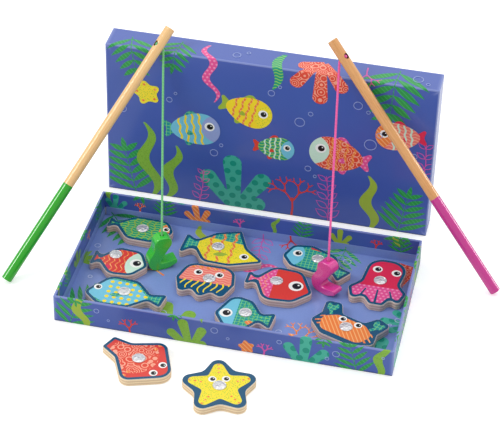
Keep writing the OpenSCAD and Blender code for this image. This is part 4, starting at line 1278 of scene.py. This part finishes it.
for name, creature, draw in (
        ("sole", SOLE, draw_sole), ("perch", PERCH, draw_perch), ("wrasse", WRASSE, draw_wrasse),
        ("angelfish", ANGELFISH, draw_angelfish), ("jellyfish", JELLYFISH, draw_jellyfish),
        ("puffer", PUFFER, draw_puffer), ("damsel", DAMSEL, draw_damsel), ("octopus", OCTOPUS, draw_octopus),
        ("crab", CRAB, draw_crab), ("chromis", CHROMIS, draw_chromis), ("ray", RAY, draw_ray),
        ("starfish", STARFISH, draw_starfish)):
    make_wood(name, creature)
    label = Label(creature)
    draw(label)
    label.make(name + "_picture", "label", [name + "_label"])
    make_cap(name, creature)


# Strings and knots

def cord_material(name, colour):
    """Twisted cotton string: strands by the angle u and the turns v along it, with painted shade between
    them, and loose fibres.
    """
    s = Shader(name, Sheen_Weight=0.3, Roughness=0.75)
    base = srgb(*colour)
    u, v = surface_uv(s)
    strand = ((u + v * 1.15) * 9.42).math("SINE") * 0.5 + 0.5
    fluff = s.noise(2400, detail=3)
    # painted shade: the cord is darker between its strands and lighter on their crowns
    tone = s.mix(strand, shade(base, 0.92), shade(base, 1.1))
    tone = s.mix(fluff * 0.3, tone, shade(base, 1.35))
    return s.paint(Base_Color=tone, Normal=s.bump(strand + fluff * 0.5, 0.12, 0.0002))


def make_string(colour, rod, stand, material):
    """Tube along the string's line whose three strands are raised along a helix: at an angle a and a distance
    d its radius is string_d / 2 (0.96 + 0.04 cos 3 (a + d in turns))."""
    line = string_line(rod, stand)
    fine, along = resample(line, 0.45)
    angle = circle(24)
    rings, uv = [], []
    for p, (u, w), d in zip(fine, carried_frames(fine, (1, 0, 0)), along / strand_pitch):
        r = string_d / 2 * (0.96 + 0.04 * np.cos(3 * (angle + 2 * np.pi * d)))
        rings.append(p + r[:, None] * (np.cos(angle)[:, None] * u + np.sin(angle)[:, None] * w))
        uv.append(np.column_stack([angle / (2 * np.pi), np.full(len(angle), d)]))
    verts, faces = loft(rings)
    piece = add_mesh(colour + "_line", verts, faces, [material], [colour + "_string"],
                     np.concatenate(uv), 60)
    knot = make_knot(colour, rod, material)


def make_knot(colour, rod, material):
    """Ball of wound cord in the rod's pocket: over the angles a round it and b up it, its radius is knot_d /
    2 (0.93 + 0.06 cos(3 a + 7 b) cos b), so that its turns cross."""
    out = hole_out(rod)
    middle = hole_middle(rod) + out * (knot_pocket_z + rest_gap + knot_d * 0.38)
    across = unit(np.cross(out, (0, 0, 1)))
    third = np.cross(out, across)
    a, rings, uv = circle(36), [], []
    for b in np.linspace(-1.05, 1.52, 22):
        r = knot_d / 2 * (0.93 + 0.06 * np.cos(3 * a + 7 * b) * math.cos(b))
        round_it = np.cos(a)[:, None] * across + np.sin(a)[:, None] * third
        rings.append(middle + r[:, None] * (out * math.sin(b) + round_it * math.cos(b)))
        uv.append(np.column_stack([a / (2 * np.pi), np.full(len(a), b)]))
    verts, faces = loft(rings)
    return add_mesh(colour + "_stop", verts, faces, [material], [colour + "_knot"],
                    np.concatenate(uv), 60)


make_string("green", GREEN_ROD, GREEN_STAND, cord_material("green_cord", (112, 194, 124)))
make_string("pink", PINK_ROD, PINK_STAND, cord_material("pink_cord", (240, 92, 162)))


# Rods: the construction's solids, with wood and dipped paint told apart along the rod

def rod_wood(s, along, x, y, dark, pale):
    """Colour and relief of turned wood: streaks and pores drawn out along the rod, rings on its end, and
    painted shade in the string hole."""
    radial = (x * x + y * y).math("SQRT")
    streak = s.noise(1, s.vector(x * 700, y * 700, along * 22), 5, 0.6, 0.4)
    pore = s.noise(1, s.vector(x * 4200, y * 4200, along * 160), 3)
    tone = s.mix(streak, srgb(*dark), srgb(*pale))
    tone = s.mix((pore > 0.62) * 0.35, tone, shade(srgb(*dark), 0.75))
    rings = (s.noise(1, s.vector(x * 260, y * 60), 4) * 60).math("SINE") > 0.2
    end = along > (rod_l - 0.3) * MM
    tone = s.mix(end * (rings * 0.25 + 0.2), tone, srgb(150, 104, 62))
    hole_from, hole_to = ((rod_l - string_hole_at + d) * MM for d in (-4, 4))
    # painted shade: the wood inside the string hole is darkened towards dark brown
    hole_shade = (radial < (rod_d / 2 - 0.35) * MM) * (along > hole_from) * (along < hole_to)
    return s.mix(hole_shade * 0.85, tone, srgb(70, 44, 26)), streak + pore * 0.3


def rod_material(name, rod, paint, dark, pale):
    """Lacquered wood, and dipped paint where the distance along the rod is less than the handle's length,
    give or take a noise. That distance and the place across are products of the place from the foot with the
    rod's directions."""
    s = Shader(name, Coat_Roughness=0.06, Specular_IOR_Level=0.35)
    way = rod_way(rod)
    foot = (lean_point(rod) - way * (rod_l - rod[1])) * MM
    side = unit(np.cross(way, (0, 0, 1)))
    place = s.node("VectorMath", {"operation": "SUBTRACT"}, [s.place(), tuple(foot)])
    along, x, y = (s.node("VectorMath", {"operation": "DOT_PRODUCT"}, [place, tuple(axis)], "Value")
                   for axis in (way, side, np.cross(way, side)))
    wood, relief = rod_wood(s, along, x, y, dark, pale)
    painted = along + (s.noise(160) - 0.5) * 0.0012 < handle_l * MM
    base = srgb(*paint)
    coat = s.mix(s.noise(60, detail=3), shade(base, 0.94), shade(base, 1.06))
    return s.paint(Base_Color=s.mix(painted, wood, coat), Roughness=0.27 - painted * 0.12,
                   Coat_Weight=painted * 0.1 + 0.8, Normal=s.bump(relief * (1 - painted), 0.06, 0.00015))


for name, rod, paint, dark, pale in (
        ("green_rod", GREEN_ROD, (34, 168, 14), (232, 174, 108), (255, 220, 160)),
        ("pink_rod", PINK_ROD, (204, 52, 144), (200, 128, 64), (250, 194, 130))):
    dress(name, rod_material(name + "_finish", rod, paint, dark, pale))


# Hooks

HOOK = [[-12, 0, 10.5], [3.7, 0, 13], [13.6, 5, 2.6], [13, 10, 2.6], [3, 7.8, 11], [-5, 7.5, 2],
        [9, 29, 8.5], [6, 36.4, 7.5], [-8, 36.4, 8.5], [-9, 22.4, 7.5], [-15.4, 12, 11]]


def gloss_plastic(name, colour):
    """Moulded plastic: slight flow clouds, a faint orange peel and hairline scratches."""
    s = Shader(name, Coat_Weight=0.8, Coat_Roughness=0.06)
    base = srgb(*colour)
    cloud, peel, scratch = s.noise(70, detail=3), s.noise(500), s.noise(1600, detail=5, roughness=0.8)
    tone = s.mix(cloud, shade(base, 0.9), shade(base, 1.1))
    return s.paint(Base_Color=tone, Roughness=scratch * 0.16 + 0.2, Normal=s.bump(peel, 0.06, 0.0004))


def make_hook(colour, stand, material):
    """Loft of the hook's outline through its thickness, drawn in along a quarter round at both faces. The
    string's hole is a steep walled dip of that surface round the middle of its top: 1 / (1 + e to the
    distance from its wall)."""
    (hx, hy), turn = stand
    quarter = face_round(hook_r, np.linspace(0, 90, 7))
    levels = quarter + [(0, depth) for depth in np.arange(hook_r + hook_step, hook_t - hook_r, hook_step)]
    levels += [(d, hook_t - depth) for d, depth in quarter[::-1]]
    outlines = {d: inset(HOOK, d, 3) for d in {d for d, _ in levels}}
    base, neck = outlines[0], 30
    s = distances(np.vstack([base, base[:1]]))
    top = s[np.argmin(np.abs(base[:, 0]) + 50 * (base[:, 1] < neck))]
    fine = np.unique(np.r_[s[:-1], np.arange(0, s[-1], 0.5), top + np.arange(-2.4, 2.4, 0.15)] % s[-1])
    rings = []
    for d, depth in levels:
        ring = np.vstack([outlines[d], outlines[d][:1]])
        x, z = (np.interp(fine, s, ring[:, k]) for k in (0, 1))
        y = np.full(len(x), hook_t / 2 - depth)
        steep = np.exp((np.hypot(x, y) - hook_hole_d / 2) / 0.05)
        dip = np.where(z > neck, 1 / (1 + steep), 0)
        level = moved([np.column_stack([x, y])], hx, hy, turn)[0]
        rings.append(np.column_stack([level, z - hook_dip * dip + floor_z]))
    verts, faces = loft(rings, True)
    nodes = [colour + "_hook"]
    add_mesh(colour + "_magnet_hook", verts, faces, [material], nodes, sharp=50)


make_hook("green", GREEN_STAND, gloss_plastic("green_plastic", (58, 204, 54)))
make_hook("pink", PINK_STAND, gloss_plastic("pink_plastic", (228, 62, 156)))


# Magnets, sealed in the hooks

def ferrite():
    """Dull grey sintered grains."""
    s = Shader("magnet", Metallic=0.7)
    grain = s.noise(1800, detail=4)
    tone = s.mix(grain, srgb(66, 66, 70), srgb(120, 120, 126))
    return s.paint(Base_Color=tone, Roughness=grain * 0.2 + 0.4, Normal=s.bump(grain, 0.1, 0.0001))


MAGNET = ferrite()
for name in ("green_magnet", "pink_magnet"):
    dress(name, MAGNET)


# Floor and light

def make_floor():
    """White table; where the camera sees it, it gives a little light of its own, so that it reads as a white
    background."""
    s = Shader("floor", Roughness=0.6, Base_Color=srgb(246, 246, 246), Emission_Strength=0.38)
    seen = s.node("LightPath")
    s.paint(Emission_Color=s.mix(seen, (0, 0, 0, 1), (1, 1, 1, 1)))
    mesh = bpy.data.meshes.new("floor")
    corners = [(-6, -4), (6, -4), (6, 8), (-6, 8)]
    mesh.from_pydata([(x, y, -0.0002) for x, y in corners], [], [(0, 1, 2, 3)])
    mesh.materials.append(s.material)
    link("floor", mesh)


def area_light(name, place, at, size, power):
    """Rectangle of light at a place, in metres, turned to look at another one; power in watts."""
    light = bpy.data.lights.new(name, "AREA")
    light.shape, light.size, light.size_y, light.energy = "RECTANGLE", size[0], size[1], power
    obj = link(name, light)
    obj.location = place
    obj.rotation_euler = (Vector(at) - Vector(place)).to_track_quat("-Z", "Y").to_euler()


def set_light():
    """Even white surroundings, and four soft lights: above, behind and on both sides."""
    world = bpy.data.worlds.new("world")
    bpy.context.scene.world = world
    world.use_nodes = True
    background = world.node_tree.nodes["Background"].inputs
    background["Color"].default_value, background["Strength"].default_value = (1, 1, 1, 1), 0.66
    area_light("top", (0.5, 0.4, 1.7), (0, 0, 0.05), (1.2, 1.2), 6)
    area_light("back", (-0.25, 1.9, 1.45), (0, 0.1, 0.1), (2.4, 1.2), 7)
    area_light("left", (-1.25, -0.55, 1.2), (-0.15, 0, 0.05), (0.45, 0.7), 10.5)
    area_light("right", (1.5, 0.75, 0.5), (0.15, 0.1, 0.05), (0.36, 0.7), 6)


make_floor()
set_light()
bpy.context.scene.view_settings.view_transform = "Standard"
